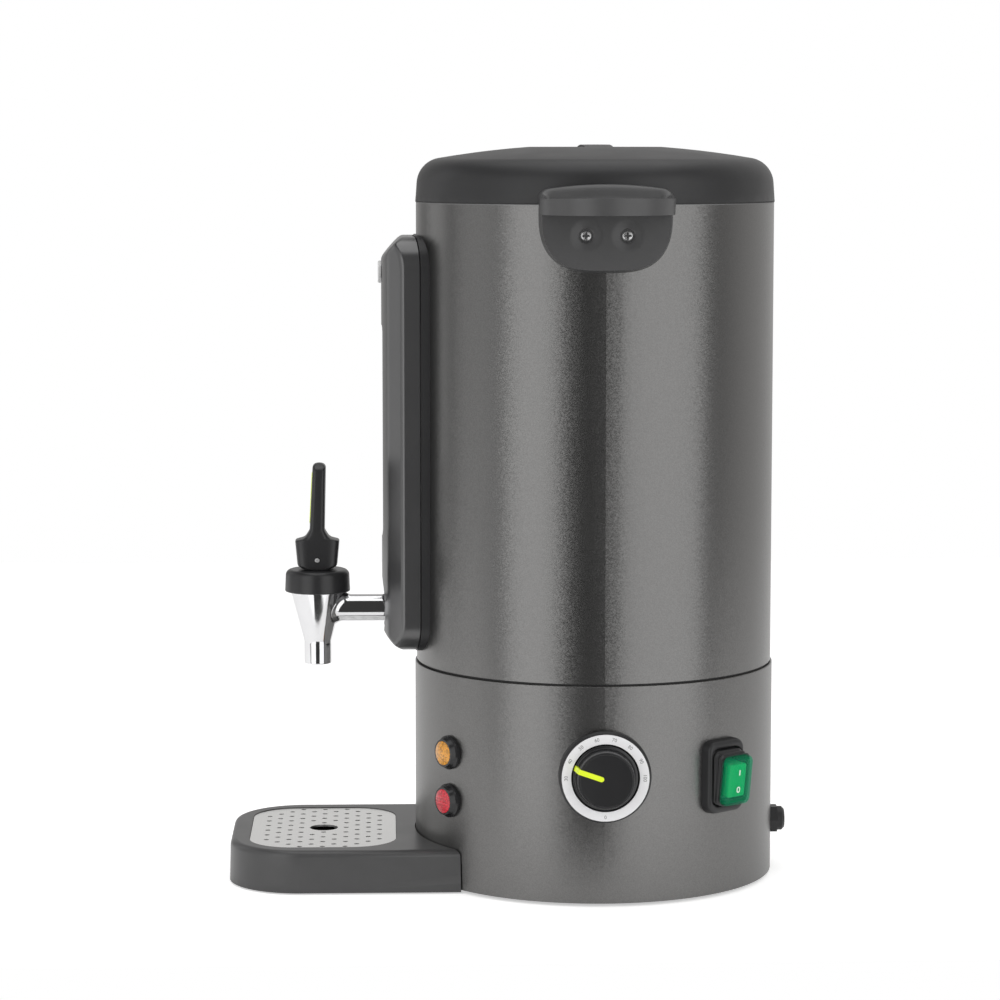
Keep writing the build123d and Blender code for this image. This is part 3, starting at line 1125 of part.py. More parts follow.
def lever_side():
    """The lever from the side, as (forward, up) from the pin, the front half first."""
    steps = [math.radians(a) for a in (0, 14, 28, 42)]
    front = [cam_point(a, 1) for a in steps]
    rear = [cam_point(a, -1) for a in steps]
    tip_front, tip_rear = LEVER_HALF - 2 * LEVER_LEAN, -LEVER_HALF - LEVER_LEAN
    tip, brow = LEVER_LENGTH, LEVER_LENGTH - LEVER_BROW
    shoulder, rise = LEVER_SHOULDER_HALF, LEVER_SHOULDER_RISE
    neck, bend = rise + LEVER_NECK, (LEVER_HALF + LEVER_NECK * 0.4, rise + LEVER_NECK / 3)

    def seen(points):
        return [(0, -u, v) for u, v in points]

    foot = Line(*seen([rear[0], front[0]]))
    cam_front = Spline(*seen(front))
    cam_rear = Spline(*seen(rear))
    side_front = Polyline(*seen([front[-1], (shoulder, rise)]))
    side_rear = Polyline(*seen([rear[-1], (-shoulder, rise)]))
    sweep_front = ThreePointArc(*seen([(shoulder, rise), bend, (LEVER_HALF, neck)]))
    sweep_rear = ThreePointArc(*seen([(-shoulder, rise), (-bend[0], bend[1]), (-LEVER_HALF, neck)]))
    stalk_front = Line(*seen([(LEVER_HALF, neck), (tip_front, brow)]))
    stalk_rear = Line(*seen([(-LEVER_HALF, neck), (tip_rear, brow)]))
    crown = ThreePointArc(*seen([(tip_front, brow), ((tip_front + tip_rear) / 2, tip), (tip_rear, brow)]))
    return make_face(foot + cam_front + cam_rear + side_front + side_rear + sweep_front + sweep_rear
                     + stalk_front + stalk_rear + crown)


def lever_front():
    """The lever from the front: a narrow foot that widens into a rounded paddle."""
    half = LEVER_WIDTH / 2
    waist, paddle = half - LEVER_FLARE / 2, half + LEVER_FLARE
    tip, low = LEVER_LENGTH, -CAM_FOOT - PROUD
    right = [(half, low), (half, LEVER_SHOULDER_RISE), (waist, LEVER_SHOULDER_RISE + half),
             (paddle, tip - paddle)]
    edges = Polyline(*[(x, 0, z) for x, z in right])
    mirror_edges = Polyline(*[(-x, 0, z) for x, z in right])
    crown = ThreePointArc((paddle, 0, tip - paddle), (0, 0, tip), (-paddle, 0, tip - paddle))
    foot = Line((-half, 0, low), (half, 0, low))
    return make_face(edges + mirror_edges + crown + foot)


def at_pin(shape):
    return Pos(0, -TAP_FROM_AXIS, PIN_HEIGHT) * shape


def lever_pocket():
    """Room inside the lever's foot for the stem's eye, open downwards as far as the tilt needs."""
    half = LEVER_SLOT_HALF
    round_room = Rot(0, 90, 0) * Cylinder(STEM_EYE_RADIUS + 2 * SLIP, 2 * half)
    lean = math.tan(math.radians(LEVER_TILT))
    depth = CAM_FOOT + STEM_EYE_RADIUS
    back, ahead = -(STEM_RADIUS + 2 * SLIP), STEM_RADIUS / math.cos(math.radians(LEVER_TILT)) + 2 * SLIP
    fan = Polyline((0, -back, 0), (0, -ahead, 0), (0, -(ahead + depth * lean), -depth), (0, -back, -depth),
                   close=True)
    return round_room + extrude(make_face(fan), half, both=True)


def make_tap_lever():
    body = extrude(lever_side(), LEVER_WIDTH, both=True)
    body &= extrude(lever_front(), 2 * LEVER_SHOULDER_HALF, both=True)
    body -= lever_pocket()
    body -= Rot(0, 90, 0) * Cylinder(PIN_RADIUS + PIN_FIT / 4, 3 * LEVER_WIDTH)
    body -= insert_form(INSERT_THICK, PROUD)
    return at_pin(body)


def insert_form(depth, proud):
    """The coloured inlay on the lever's front, with its back sunk to a depth."""
    neck = LEVER_SHOULDER_RISE + LEVER_NECK
    slope = math.atan2(2 * LEVER_LEAN, LEVER_LENGTH - LEVER_BROW - neck)
    face = facing(FRONT, 0) * Pos(0, neck, LEVER_HALF) * Rot(-math.degrees(slope), 0, 0)
    centre = INSERT_LOW + INSERT_LENGTH / 2 - neck
    oval = Rot(0, 0, 90) * SlotOverall(INSERT_LENGTH, INSERT_WIDTH)
    return face * Pos(0, centre, -depth) * extrude(oval, depth + proud)


def make_lever_insert():
    return at_pin(insert_form(INSERT_THICK, INSERT_PROUD))


def make_lever_pin():
    return at_pin(Rot(0, 90, 0) * Cylinder(PIN_RADIUS, LEVER_WIDTH + LEVER_BOSS))


def make_shank_nut():
    far = SHANK_NUT_FACE
    near = far - SHANK_NUT_THICK
    nut = hexagon(SHANK_NUT_RADIUS, near, far) - bar(TAP_SHANK_RADIUS + FIT, near - PROUD, far + PROUD)
    return facing(FRONT, TAP_SHANK_HEIGHT) * nut


def make_shank_seals():
    frame = facing(FRONT, TAP_SHANK_HEIGHT)
    low, high = TAP_SHANK_HEIGHT - SPACER_RADIUS - PROUD, TAP_SHANK_HEIGHT + SPACER_RADIUS + PROUD
    hole = bar(TAP_SHANK_RADIUS + FIT, SHANK_END, GAUGE_CROWN)
    inner = bar(SPACER_RADIUS, SHANK_NUT_FACE + FIT / 2, JACKET_RADIUS) - hole
    outer = bar(SPACER_RADIUS, SHANK_NUT_FACE, GAUGE_PART_CROWN + SLIP) - hole
    outside = drum(POT_RADIUS + POT_WALL, low, high)
    return [frame * inner & drum(POT_RADIUS, low, high), frame * outer - outside]


# ================================================================ drip tray
def tray_outline(inset):
    """The tray from above, open to the drum at the rear."""
    half, front, corner = TRAY_HALF_WIDTH - inset, TRAY_FRONT - inset, TRAY_CORNER - inset
    root = TRAY_ROOT
    edges = FilletPolyline((-half, -root), (-half, -front), (half, -front), (half, -root), radius=corner)
    return make_face(edges + Line((half, -root), (-half, -root)))


def plate_place():
    return Pos(0, -PLATE_CENTRE)


def make_drip_tray():
    body = Pos(0, 0, TRAY_BOTTOM) * extrude(tray_outline(0), TRAY_TOP - TRAY_BOTTOM, taper=TRAY_TAPER)
    body = fillet([e for e in top_edges(body, TRAY_TOP) if e.center().Y < -TRAY_ROOT - PROUD], TRAY_ROUND)
    body -= drum(BASE_RADIUS + TRAY_GAP, TRAY_BOTTOM - PROUD, TRAY_TOP + PROUD)
    width, length = PLATE_SIZE
    seat = RectangleRounded(width + 2 * SLIP, length + 2 * SLIP, PLATE_CORNER + SLIP)
    basin = RectangleRounded(width - 2 * LEDGE, length - 2 * LEDGE, PLATE_CORNER - LEDGE)
    ledge = TRAY_TOP - PLATE_SINK - PLATE_THICK
    body -= plate_place() * Pos(0, 0, ledge) * extrude(seat, TRAY_TOP)
    body -= plate_place() * Pos(0, 0, TRAY_FLOOR) * extrude(basin, TRAY_TOP)
    inset = TRAY_WALL
    under = extrude(tray_outline(inset + TRAY_SKIRT), TRAY_TOP - 2 * TRAY_WALL)
    grow = inset - LEDGE
    wall = RectangleRounded(width + 2 * grow, length + 2 * grow, PLATE_CORNER + grow)
    under -= plate_place() * extrude(wall, TRAY_TOP)
    under -= drum(BASE_RADIUS + TRAY_GAP + inset, 0, TRAY_TOP)
    body -= under
    for side in (-1, 1):
        tongue = block(TONGUE_WIDTH, TONGUE_HEIGHT, TONGUE_TIP, BASE_RADIUS + TRAY_WALL - TRAY_GAP)
        body += facing(FRONT, TONGUE_LOW + TONGUE_HEIGHT / 2) * Pos(side * TONGUE_OFFSET, 0, 0) * tongue
        foot = drum(TRAY_FOOT_RADIUS, 0, TRAY_FLOOR - TRAY_BOTTOM)
        body += Pos(side * TRAY_HALF_WIDTH / 2, TRAY_FOOT_INSET - TRAY_FRONT) * foot
    return body


def make_drip_plate():
    width, length = PLATE_SIZE
    low = TRAY_TOP - PLATE_SINK - PLATE_THICK
    sheet = RectangleRounded(width, length, PLATE_CORNER) - Circle(DRAIN_RADIUS)
    plate = extrude(sheet, PLATE_THICK)
    columns, rows = int(width / HOLE_PITCH) + 2, int(length / HOLE_PITCH) + 2
    keep = RectangleRounded(width - 4 * HOLE_RADIUS, length - 4 * HOLE_RADIUS, PLATE_CORNER - HOLE_RADIUS)
    inside = keep - Circle(DRAIN_RADIUS + 2.5 * HOLE_RADIUS)
    holes = Sketch()
    for column in range(-columns, columns + 1):
        for row in range(-rows, rows + 1):
            if (column + row) % 2 == 0:
                x, y = column * HOLE_PITCH / 2, row * HOLE_PITCH / 2
                if inside.face().is_inside(Vector(x, y, 0)):
                    holes += Pos(x, y) * Circle(HOLE_RADIUS)
    plate -= Pos(0, 0, -PROUD) * extrude(holes, PLATE_THICK + 2 * PROUD)
    return plate_place() * Pos(0, 0, low) * plate


# ================================================================ lid
def lid_form(inset):
    """The lid's outer form: a drafted skirt under a shallow crown with a round shoulder."""
    radius, top = LID_RADIUS - inset, LID_TOP - inset
    crown = LID_CROWN_RADIUS - inset
    corner = radius - LID_DRAFT
    corner_z = top - crown + math.sqrt(crown ** 2 - corner ** 2)
    mid = corner / 2
    mid_z = top - crown + math.sqrt(crown ** 2 - mid ** 2)
    low = LID_BOTTOM - (PROUD if inset else 0)
    side = Polyline((0, 0, top), (0, 0, low), (radius, 0, low), (corner, 0, corner_z))
    arc = ThreePointArc((corner, 0, corner_z), (mid, 0, mid_z), (0, 0, top))
    form = revolve(make_face(side + arc), Axis.Z)
    rim = [e for e in form.edges().filter_by(GeomType.CIRCLE)
           if abs(e.radius - corner) < 0.01 and abs(e.center().Z - corner_z) < 0.01]
    return fillet(rim, LID_SHOULDER - inset)


def grip_sketch(grow):
    """The two D-shaped finger wells either side of the grip bar."""
    circle = Circle(GRIP_RADIUS + grow)
    return circle - Rectangle(4 * GRIP_RADIUS, GRIP_BAR - 2 * grow)


def vent_sketch(grow):
    return Pos(0, -LID_VENT_PLACE) * SlotOverall(LID_VENT_SIZE[0] + 2 * grow, LID_VENT_SIZE[1] + 2 * grow)


def make_lid_shell():
    body = lid_form(0) - lid_form(LID_WALL)
    wells = Pos(0, 0, GRIP_FLOOR - GRIP_WALL) * extrude(grip_sketch(GRIP_WALL), LID_HEIGHT)
    vent = Pos(0, 0, LID_VENT_FLOOR - GRIP_WALL) * extrude(vent_sketch(GRIP_WALL), LID_HEIGHT)
    body += (wells + vent) & lid_form(0)
    body -= Pos(0, 0, GRIP_FLOOR) * extrude(grip_sketch(0), LID_HEIGHT)
    body -= Pos(0, 0, LID_VENT_FLOOR) * extrude(vent_sketch(0), LID_HEIGHT)
    for place in vent_hole_places():
        body -= place * drum(LID_VENT_RADIUS, LID_VENT_FLOOR - GRIP_WALL - PROUD, LID_VENT_FLOOR + PROUD)
    for place in lid_screw_places():
        post = place * drum(LID_POST_RADIUS, pan_seat() + FIT / 2, LID_TOP)
        body += post & lid_form(0)
        hole_top = LID_BOTTOM + LID_SCREW_LENGTH + PROUD
        body -= place * drum(LID_SCREW_RADIUS + FIT, pan_seat() - PROUD, hole_top)
    return body


def vent_hole_places():
    return [Pos(i * LID_VENT_PITCH, -LID_VENT_PLACE) for i in (-1, 0, 1)]


def lid_screw_places():
    return PolarLocations(PAN_FLANGE - LID_SCREW_MARGIN, LUG_COUNT, 30)


def pan_seat():
    """Height of the pan flange's upper face."""
    return LID_BOTTOM + PAN_SEAT + PAN_WALL


def make_lid_pan():
    top, floor = pan_seat(), LID_BOTTOM - PAN_DEPTH
    pan = turned((0, floor), (PAN_RADIUS, floor), (PAN_RADIUS, top - PAN_WALL), (PAN_FLANGE, top - PAN_WALL),
                 (PAN_FLANGE, top), (PAN_RADIUS - PAN_WALL, top), (PAN_RADIUS - PAN_WALL, floor + PAN_WALL),
                 (0, floor + PAN_WALL))
    for angle in lug_angles():
        lug = sector(LUG_REACH, LUG_TOP - LUG_THICK, LUG_TOP, angle, LUG_WIDTH)
        pan += lug - drum(PAN_RADIUS - PAN_WALL / 2, LUG_TOP - LUG_THICK - PROUD, LUG_TOP + PROUD)
    for place in lid_screw_places():
        pan -= place * drum(LID_SCREW_RADIUS + 2 * FIT, top - PAN_WALL - PROUD, top + PROUD)
    for place in vent_hole_places():
        pan -= place * drum(LID_VENT_RADIUS, floor - PROUD, floor + PAN_WALL + PROUD)
    return pan


def make_lid_screws():
    low = pan_seat() - PAN_WALL - FIT / 10 - LID_SCREW_HEAD
    shank = drum(LID_SCREW_RADIUS, low, LID_BOTTOM + LID_SCREW_LENGTH)
    screw = shank + drum(LID_SCREW_HEAD_RADIUS, low, low + LID_SCREW_HEAD)
    return [place * screw for place in lid_screw_places()]


def make_lid_gasket():
    low = TAB_BOTTOM + LOCK_TAB_THICK + SLIP
    return tube(POT_RADIUS - SLIP, PAN_RADIUS + SLIP, low, low + GASKET_THICK)


# ================================================================ the whole urn
PIECES = {
    "base_shell": make_base_shell,
    "bottom_plate": make_bottom_plate,
    "feet": make_feet,
    "seam_ring": make_seam_ring,
    "jacket": make_jacket,
    "inner_pot": make_inner_pot,
    "lock_ring": make_lock_ring,
    "heating_plate": make_heating_plate,
    "heating_element": make_heating_element,
    "tie_studs": make_tie_studs,
    "tie_nuts": make_tie_nuts,
    "safety_cutout": make_cutout,
    "reset_button": make_reset_button,
    "terminal_block": make_terminal_block,
    "thermostat": make_thermostat,
    "thermostat_spindle": make_spindle,
    "dial_bezel": make_dial_bezel,
    "dial_ring": make_dial_ring,
    "knob": make_knob,
    "knob_pointer": make_knob_pointer,
    "lamp_bezels": make_lamp_bezels,
    "lamp_lens_amber": lambda: make_lens(lamp_frames()[0]),
    "lamp_lens_red": lambda: make_lens(lamp_frames()[1]),
    "lamp_nuts": make_lamp_nuts,
    "switch_frame": make_switch_frame,
    "switch_body": make_switch_body,
    "switch_rocker": make_switch_rocker,
    "switch_boot": make_switch_boot,
    "cord_gland": make_cord_gland,
    "gland_nut": make_gland_nut,
    "handle_right": make_handle,
    "handle_left": lambda: Rot(0, 0, 180) * make_handle(),
    "handle_screws": make_handle_screws,
    "handle_nut_plates": make_nut_plates,
    "gauge_back": make_gauge_back,
    "gauge_cover": make_gauge_cover,
    "gauge_window": make_gauge_window,
    "gauge_tube": make_gauge_tube,
    "gauge_manifold": make_gauge_manifold,
    "tube_seals": make_tube_seals,
    "tube_plug": make_tube_plug,
    "cover_cap": make_cover_cap,
    "cover_screw": make_cover_screw,
    "tap_body": make_tap_body,
    "tap_bonnet": make_tap_bonnet,
    "tap_spring": make_tap_spring,
    "tap_stem": make_tap_stem,
    "tap_seat": make_tap_seat,
    "tap_lever": make_tap_lever,
    "lever_insert": make_lever_insert,
    "lever_pin": make_lever_pin,
    "shank_nut": make_shank_nut,
    "shank_seals": make_shank_seals,
    "drip_tray": make_drip_tray,
    "drip_plate": make_drip_plate,
    "lid_shell": make_lid_shell,
    "lid_pan": make_lid_pan,
    "lid_screws": make_lid_screws,
    "lid_gasket": make_lid_gasket,
}


def main():
    os.makedirs("parts", exist_ok=True)
    for name, make in PIECES.items():
        made = make()
        solids = [s for shape in (made if isinstance(made, list) else [made]) for s in shape.solids()]
        placed = [Pos(0, AXIS_Y, 0) * solid for solid in solids]
        export_step(placed[0] if len(placed) == 1 else Compound(children=placed), f"parts/{name}.step")


if __name__ == "__main__":
    main()
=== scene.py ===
"""Looks of a hot water urn: paint, moulded plastic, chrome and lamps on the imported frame.

All sizes are in millimetres about the urn's own upright axis, with the table at height 0 and the tap
towards -Y, and become metres when a mesh is made.
"""

import json
import math

import bmesh
import bpy
import numpy as np
from bpy.props import FloatProperty, FloatVectorProperty, IntProperty, PointerProperty
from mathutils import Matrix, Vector


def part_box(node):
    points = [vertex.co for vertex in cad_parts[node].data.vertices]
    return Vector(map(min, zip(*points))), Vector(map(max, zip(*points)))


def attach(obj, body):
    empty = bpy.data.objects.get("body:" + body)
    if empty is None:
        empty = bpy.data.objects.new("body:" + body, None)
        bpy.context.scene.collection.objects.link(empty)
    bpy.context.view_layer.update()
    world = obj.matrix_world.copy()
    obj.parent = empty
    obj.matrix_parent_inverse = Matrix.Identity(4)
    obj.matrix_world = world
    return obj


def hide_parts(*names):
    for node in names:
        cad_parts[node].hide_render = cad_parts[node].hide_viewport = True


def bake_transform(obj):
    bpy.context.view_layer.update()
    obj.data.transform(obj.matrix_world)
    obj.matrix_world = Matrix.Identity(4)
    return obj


bl_info = {
    "name": "Hot water urn",
    "version": (1, 0, 0),
    "blender": (4, 5, 0),
    "location": "View3D > Sidebar > Urn",
    "description": "Finishes and visible forms of a hot water urn on its packed frame",
    "category": "Object",
}

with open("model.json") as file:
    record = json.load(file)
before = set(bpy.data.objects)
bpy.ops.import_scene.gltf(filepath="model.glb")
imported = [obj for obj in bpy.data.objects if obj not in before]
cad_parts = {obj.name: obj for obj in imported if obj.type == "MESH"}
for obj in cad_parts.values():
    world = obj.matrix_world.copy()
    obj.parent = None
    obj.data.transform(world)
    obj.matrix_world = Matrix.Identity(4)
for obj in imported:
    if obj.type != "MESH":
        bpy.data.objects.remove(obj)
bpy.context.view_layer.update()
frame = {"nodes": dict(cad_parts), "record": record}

MM = 0.001
DOUBLED = 1e-6             # metres within which points of a new mesh are one point

# ---------------------------------------------------------------- places read from the frame
NODES = frame["nodes"]
SLOT_OF = {part["node"]: part["material_slot"] for part in frame["record"]["subparts"]}
BODY_OF = {node: body for body, nodes in frame["record"]["behaviour"]["bodies"].items() for node in nodes}


def extent(node):
    """Lowest and highest corner of a node in millimetres, as arrays."""
    low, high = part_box(node)
    return np.array(low) / MM, np.array(high) / MM


def in_mm(length):
    """A length setting, which Blender holds in single-precision metres, as plain millimetres."""
    return round(length / MM, 4)


JACKET_LOW, JACKET_HIGH = extent("jacket")
AXIS_Y = (JACKET_LOW[1] + JACKET_HIGH[1]) / 2          # where the urn's own axis stands in the row frame
JACKET_RADIUS = (JACKET_HIGH[0] - JACKET_LOW[0]) / 2
BASE_RADIUS = JACKET_RADIUS + 1.0
FRONT, RIGHT, LEFT = -90.0, 0.0, 180.0                 # turns about that axis, in degrees from +X


# ================================================================ geometry helpers
def rounded(corners, radii, steps=6, closed=False):
    """A flat path through corners, each replaced by an arc that is tangent to both of its sides.

    The arc's half-angle is half the turn between the sides, and it starts radius * tan(turn / 2) before
    the corner. A radius of 0 keeps the corner."""
    corners = np.asarray(corners, float)
    count = len(corners)
    path = []
    for i, radius in enumerate(radii):
        here = corners[i]
        if radius == 0 or (not closed and i in (0, count - 1)):
            path.append(here[None])
            continue
        back, ahead = corners[i - 1] - here, corners[(i + 1) % count] - here
        back, ahead = back / np.linalg.norm(back), ahead / np.linalg.norm(ahead)
        half = math.acos(np.clip(back @ ahead, -1, 1)) / 2
        middle = (back + ahead) / np.linalg.norm(back + ahead)
        centre = here + middle * radius / math.sin(half)
        start, end = here + back * radius / math.tan(half), here + ahead * radius / math.tan(half)
        mix = np.linspace(0, 1, steps + 1)[:, None]
        spokes = (start - centre) * (1 - mix) + (end - centre) * mix
        path.append(centre + radius * spokes / np.linalg.norm(spokes, axis=1, keepdims=True))
    return np.concatenate(path)


def rounded_box(half_width, half_height, corner, arc=10, wide=8, tall=8):
    """Outline of a rounded rectangle with a set number of points on each arc and side.

    Outlines with the same counts have matching points, so one can be drawn across to another."""
    turn = np.linspace(0, math.pi / 2, arc)
    starts = np.arange(4)[:, None] * math.pi / 2
    angle = starts + turn
    sign = np.array([[1, 1], [-1, 1], [-1, -1], [1, -1]])
    centre = sign * np.array([half_width - corner, half_height - corner])
    arcs = centre[:, None] + corner * np.stack([np.cos(angle), np.sin(angle)], -1)
    rows = []
    for k in range(4):
        between = wide if k % 2 == 0 else tall
        mix = np.linspace(0, 1, between + 2)[1:-1, None]
        rows += [arcs[k], arcs[k][-1] * (1 - mix) + arcs[(k + 1) % 4][0] * mix]
    return np.concatenate(rows)


def loops(*steps):
    """One rounded-rectangle loop for each step of (outline, inset, out)."""
    rows = []
    for (wide, tall, corner), inset, out in steps:
        flat = rounded_box(wide - inset, tall - inset, max(corner - inset, 0.02))
        rows.append(np.column_stack([flat, np.broadcast_to(out, len(flat))]))
    return np.stack(rows)


def centre_of(row):
    """A row whose points all stand at another row's middle, which closes a face."""
    return np.broadcast_to(row.mean(0), row.shape)[None]


def round_steps(outline, inset, out, radius, count=5):
    """Steps that carry a loop round an edge from its side to its face."""
    turn = np.linspace(0, math.pi / 2, count)
    return [(outline, inset + radius * (1 - math.cos(a)), out - radius * (1 - math.sin(a))) for a in turn]


def turned(profile, segments=96, centre=(0.0, 0.0)):
    """A profile of (radius, height) rows carried round an upright axis: (r cos a, r sin a, h)."""
    profile = np.asarray(profile, float)
    angle = np.arange(segments) * 2 * math.pi / segments
    r, h = profile[:, :1], profile[:, 1:]
    return np.stack([centre[0] + r * np.cos(angle), centre[1] + r * np.sin(angle), h + 0 * angle], -1)


def facing(points, angle, height):
    """Points of a side frame (across, up, out from the urn's axis) brought to the urn's own frame."""
    a = math.radians(angle)
    x, y, z = points[..., 0], points[..., 1], points[..., 2]
    return np.stack([z * math.cos(a) - x * math.sin(a), z * math.sin(a) + x * math.cos(a), height + y], -1)


def sheet(grid, around=True, closed=False):
    """A grid of points with its faces: around joins the last column to the first, closed the last row."""
    grid = np.asarray(grid, float)
    rows, cols = grid.shape[:2]
    index = np.arange(rows * cols).reshape(rows, cols)
    if around:
        index = np.concatenate([index, index[:, :1]], 1)
    if closed:
        index = np.concatenate([index, index[:1]], 0)
    faces = np.stack([index[:-1, :-1], index[:-1, 1:], index[1:, 1:], index[1:, :-1]], -1).reshape(-1, 4)
    return grid.reshape(-1, 3), faces


def eased(value, low, high):
    """0 at low, 1 at high, with a smooth start and end: 3t^2 - 2t^3."""
    t = np.clip((value - low) / (high - low), 0, 1)
    return t * t * (3 - 2 * t)


def pit(away, depth, inner, outer):
    """A round pit: its full depth up to inner from its middle, and none beyond outer."""
    return depth * (1 - eased(away, inner, outer))


def soft_min(a, b, blend):
    """The lower of two surfaces, with their crease filled over a width called blend."""
    share = np.clip(0.5 + 0.5 * (b - a) / blend, 0, 1)
    return b * (1 - share) + a * share - blend * share * (1 - share)


def new_object(name, data):
    """An object of some data, linked to the scene."""
    made = bpy.data.objects.new(name, data)
    bpy.context.scene.collection.objects.link(made)
    return made


def new_mesh(name, points, faces, crease=35.0):
    """A smooth mesh whose edges stay sharp where its faces turn by more than crease.

    Doubled points are joined, so seams and poles are closed, and every face is turned outwards."""
    mesh = bpy.data.meshes.new(name)
    mesh.from_pydata(points * MM, [], faces.tolist())
    work = bmesh.new()
    work.from_mesh(mesh)
    bmesh.ops.remove_doubles(work, verts=work.verts, dist=DOUBLED)
    bmesh.ops.dissolve_degenerate(work, edges=work.edges, dist=DOUBLED / 10)
    bmesh.ops.recalc_face_normals(work, faces=work.faces)
    work.to_mesh(mesh)
    work.free()
    mesh.shade_smooth()
    mesh.set_sharp_from_angle(angle=math.radians(crease))
    return mesh


def new_piece(name, sheets, finish, body, stands_for=(), crease=35.0):
    """One mesh object from several sheets about the urn's axis, which rides on a body.

    It replaces the nodes that it stands for. A piece given no body is attached to none."""
    points, faces, start = [], [], 0
    for verts, quads in sheets:
        points.append(verts)
        faces.append(quads + start)
        start += len(verts)
    placed = np.concatenate(points) + (0.0, AXIS_Y, 0.0)
    piece = new_object(name, new_mesh(name, placed, np.concatenate(faces), crease))
    piece.data.materials.append(finish_of(finish))
    if body:
        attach(piece, body)
    if stands_for:
        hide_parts(*stands_for)
    return piece


def end_cap(profile):
    """Closes the end of a swept shape: the profile's first half is joined straight across to its second."""
    half = len(profile) // 2
    return sheet(np.stack([profile[:half], profile[::-1][:half]]), around=False)


def round_edges(piece, width, angle=30.0, segments=3):
    """Rounds a piece's edges where its faces turn by more than an angle."""
    bevel = piece.modifiers.new("Round edges", "BEVEL")
    bevel.width = width * MM
    bevel.segments = segments
    bevel.limit_method = "ANGLE"
    bevel.angle_limit = math.radians(angle)
    bevel.harden_normals = True


def soften(node, width):
    """Small rounds on a node's edges: its loose faces are welded, then bevelled where they turn sharply."""
    piece = NODES[node]
    weld = piece.modifiers.new("Weld", "WELD")
    weld.merge_threshold = 2 * DOUBLED
    round_edges(piece, width, segments=2)


# ================================================================ finishes
class Finish:
    """A material being built: a Principled shader, and patterns read from Object coordinates."""

    def __init__(self, name, colour, **sockets):
        self.material = bpy.data.materials.new(name + "_finish")
        self.material.use_nodes = True
        self.nodes, self.links = self.material.node_tree.nodes, self.material.node_tree.links
        self.nodes.clear()
        self.output = self.node("ShaderNodeOutputMaterial")
        self.shader = self.node("ShaderNodeBsdfPrincipled")
        self.links.new(self.shader.outputs[0], self.output.inputs[0])
        self.place = self.node("ShaderNodeTexCoord").outputs["Object"]
        self.colour = colour
        self.shader.inputs["Base Color"].default_value = (*colour, 1)
        for socket, value in sockets.items():
            self.shader.inputs[socket.replace("_", " ")].default_value = value

    def node(self, kind, **settings):
        """A new node; each setting is one of its sockets or else one of its properties."""
        node = self.nodes.new(kind)
        for key, value in settings.items():
            if key in node.inputs:
                node.inputs[key].default_value = value
            else:
                setattr(node, key, value)
        return node

    def scaled(self, stretch):
        """Object coordinates multiplied along each axis."""
        mapping = self.node("ShaderNodeMapping")
        mapping.inputs["Scale"].default_value = stretch
        self.links.new(self.place, mapping.inputs["Vector"])
        return mapping.outputs[0]

    def noise(self, size, detail=3.0, stretch=None):
        """Soft noise whose blotches are about size millimetres across."""
        node = self.node("ShaderNodeTexNoise", Scale=1 / (size * MM), Detail=detail)
        self.links.new(self.scaled(stretch) if stretch else self.place, node.inputs["Vector"])
        return node.outputs["Fac"]

    def cells(self, size):
        """Cells about size millimetres across, each with a random colour."""
        node = self.node("ShaderNodeTexVoronoi", Scale=1 / (size * MM))
        self.links.new(self.place, node.inputs["Vector"])
        return node.outputs["Color"]

    def specks(self, size):
        """A random grey from 0 to 1 in each cell about size millimetres across."""
        parts = self.node("ShaderNodeSeparateColor")
        self.links.new(self.cells(size), parts.inputs[0])
        return parts.outputs[0]

    def spread(self, value, low, high):
        """A 0 to 1 pattern brought to a range."""
        node = self.node("ShaderNodeMapRange")
        node.inputs["To Min"].default_value = low
        node.inputs["To Max"].default_value = high
        self.links.new(value, node.inputs["Value"])
        return node.outputs[0]

    def mottle(self, pattern, amount):
        """Base colour that runs from darker to lighter than its own by an amount."""
        node = self.node("ShaderNodeMix", data_type="RGBA")
        node.inputs["A"].default_value = (*[c * (1 - amount) for c in self.colour], 1)
        node.inputs["B"].default_value = (*[min(c * (1 + amount), 1) for c in self.colour], 1)
        self.links.new(pattern, node.inputs["Factor"])
        self.links.new(node.outputs["Result"], self.shader.inputs["Base Color"])
        return self

    def rough(self, pattern, low, high):
        """Roughness that runs from low to high with a pattern."""
        self.links.new(self.spread(pattern, low, high), self.shader.inputs["Roughness"])
        return self

    def relief(self, pattern, depth, strength=1.0):
        """Small relief of a depth in millimetres."""
        node = self.node("ShaderNodeBump", Strength=strength, Distance=depth * MM)
        self.links.new(pattern, node.inputs["Height"])
        self.links.new(node.outputs[0], self.shader.inputs["Normal"])
        return self

    def flakes(self, size, tilt):
        """Metal flakes: each small cell leans its own way by up to tilt."""
        lean = self.node("ShaderNodeVectorMath", operation="MULTIPLY_ADD")
        lean.inputs[1].default_value = (tilt, tilt, tilt)
        lean.inputs[2].default_value = (-tilt / 2, -tilt / 2, -tilt / 2)
        self.links.new(self.cells(size), lean.inputs[0])
        add = self.node("ShaderNodeVectorMath", operation="ADD")
        self.links.new(self.node("ShaderNodeNewGeometry").outputs["Normal"], add.inputs[0])
        self.links.new(lean.outputs[0], add.inputs[1])
        unit = self.node("ShaderNodeVectorMath", operation="NORMALIZE")
        self.links.new(add.outputs[0], unit.inputs[0])
        self.links.new(unit.outputs[0], self.shader.inputs["Normal"])
        return self


def graphite_paint(name, colour, rough=0.28):
    """Baked graphite paint with fine metal flakes and a faint unevenness."""
    paint = Finish(name, colour, Metallic=1.0)
    paint.mottle(paint.specks(0.5), 0.09)
    paint.rough(paint.noise(60), rough, rough + 0.02)
    return paint.flakes(0.5, 0.08).material


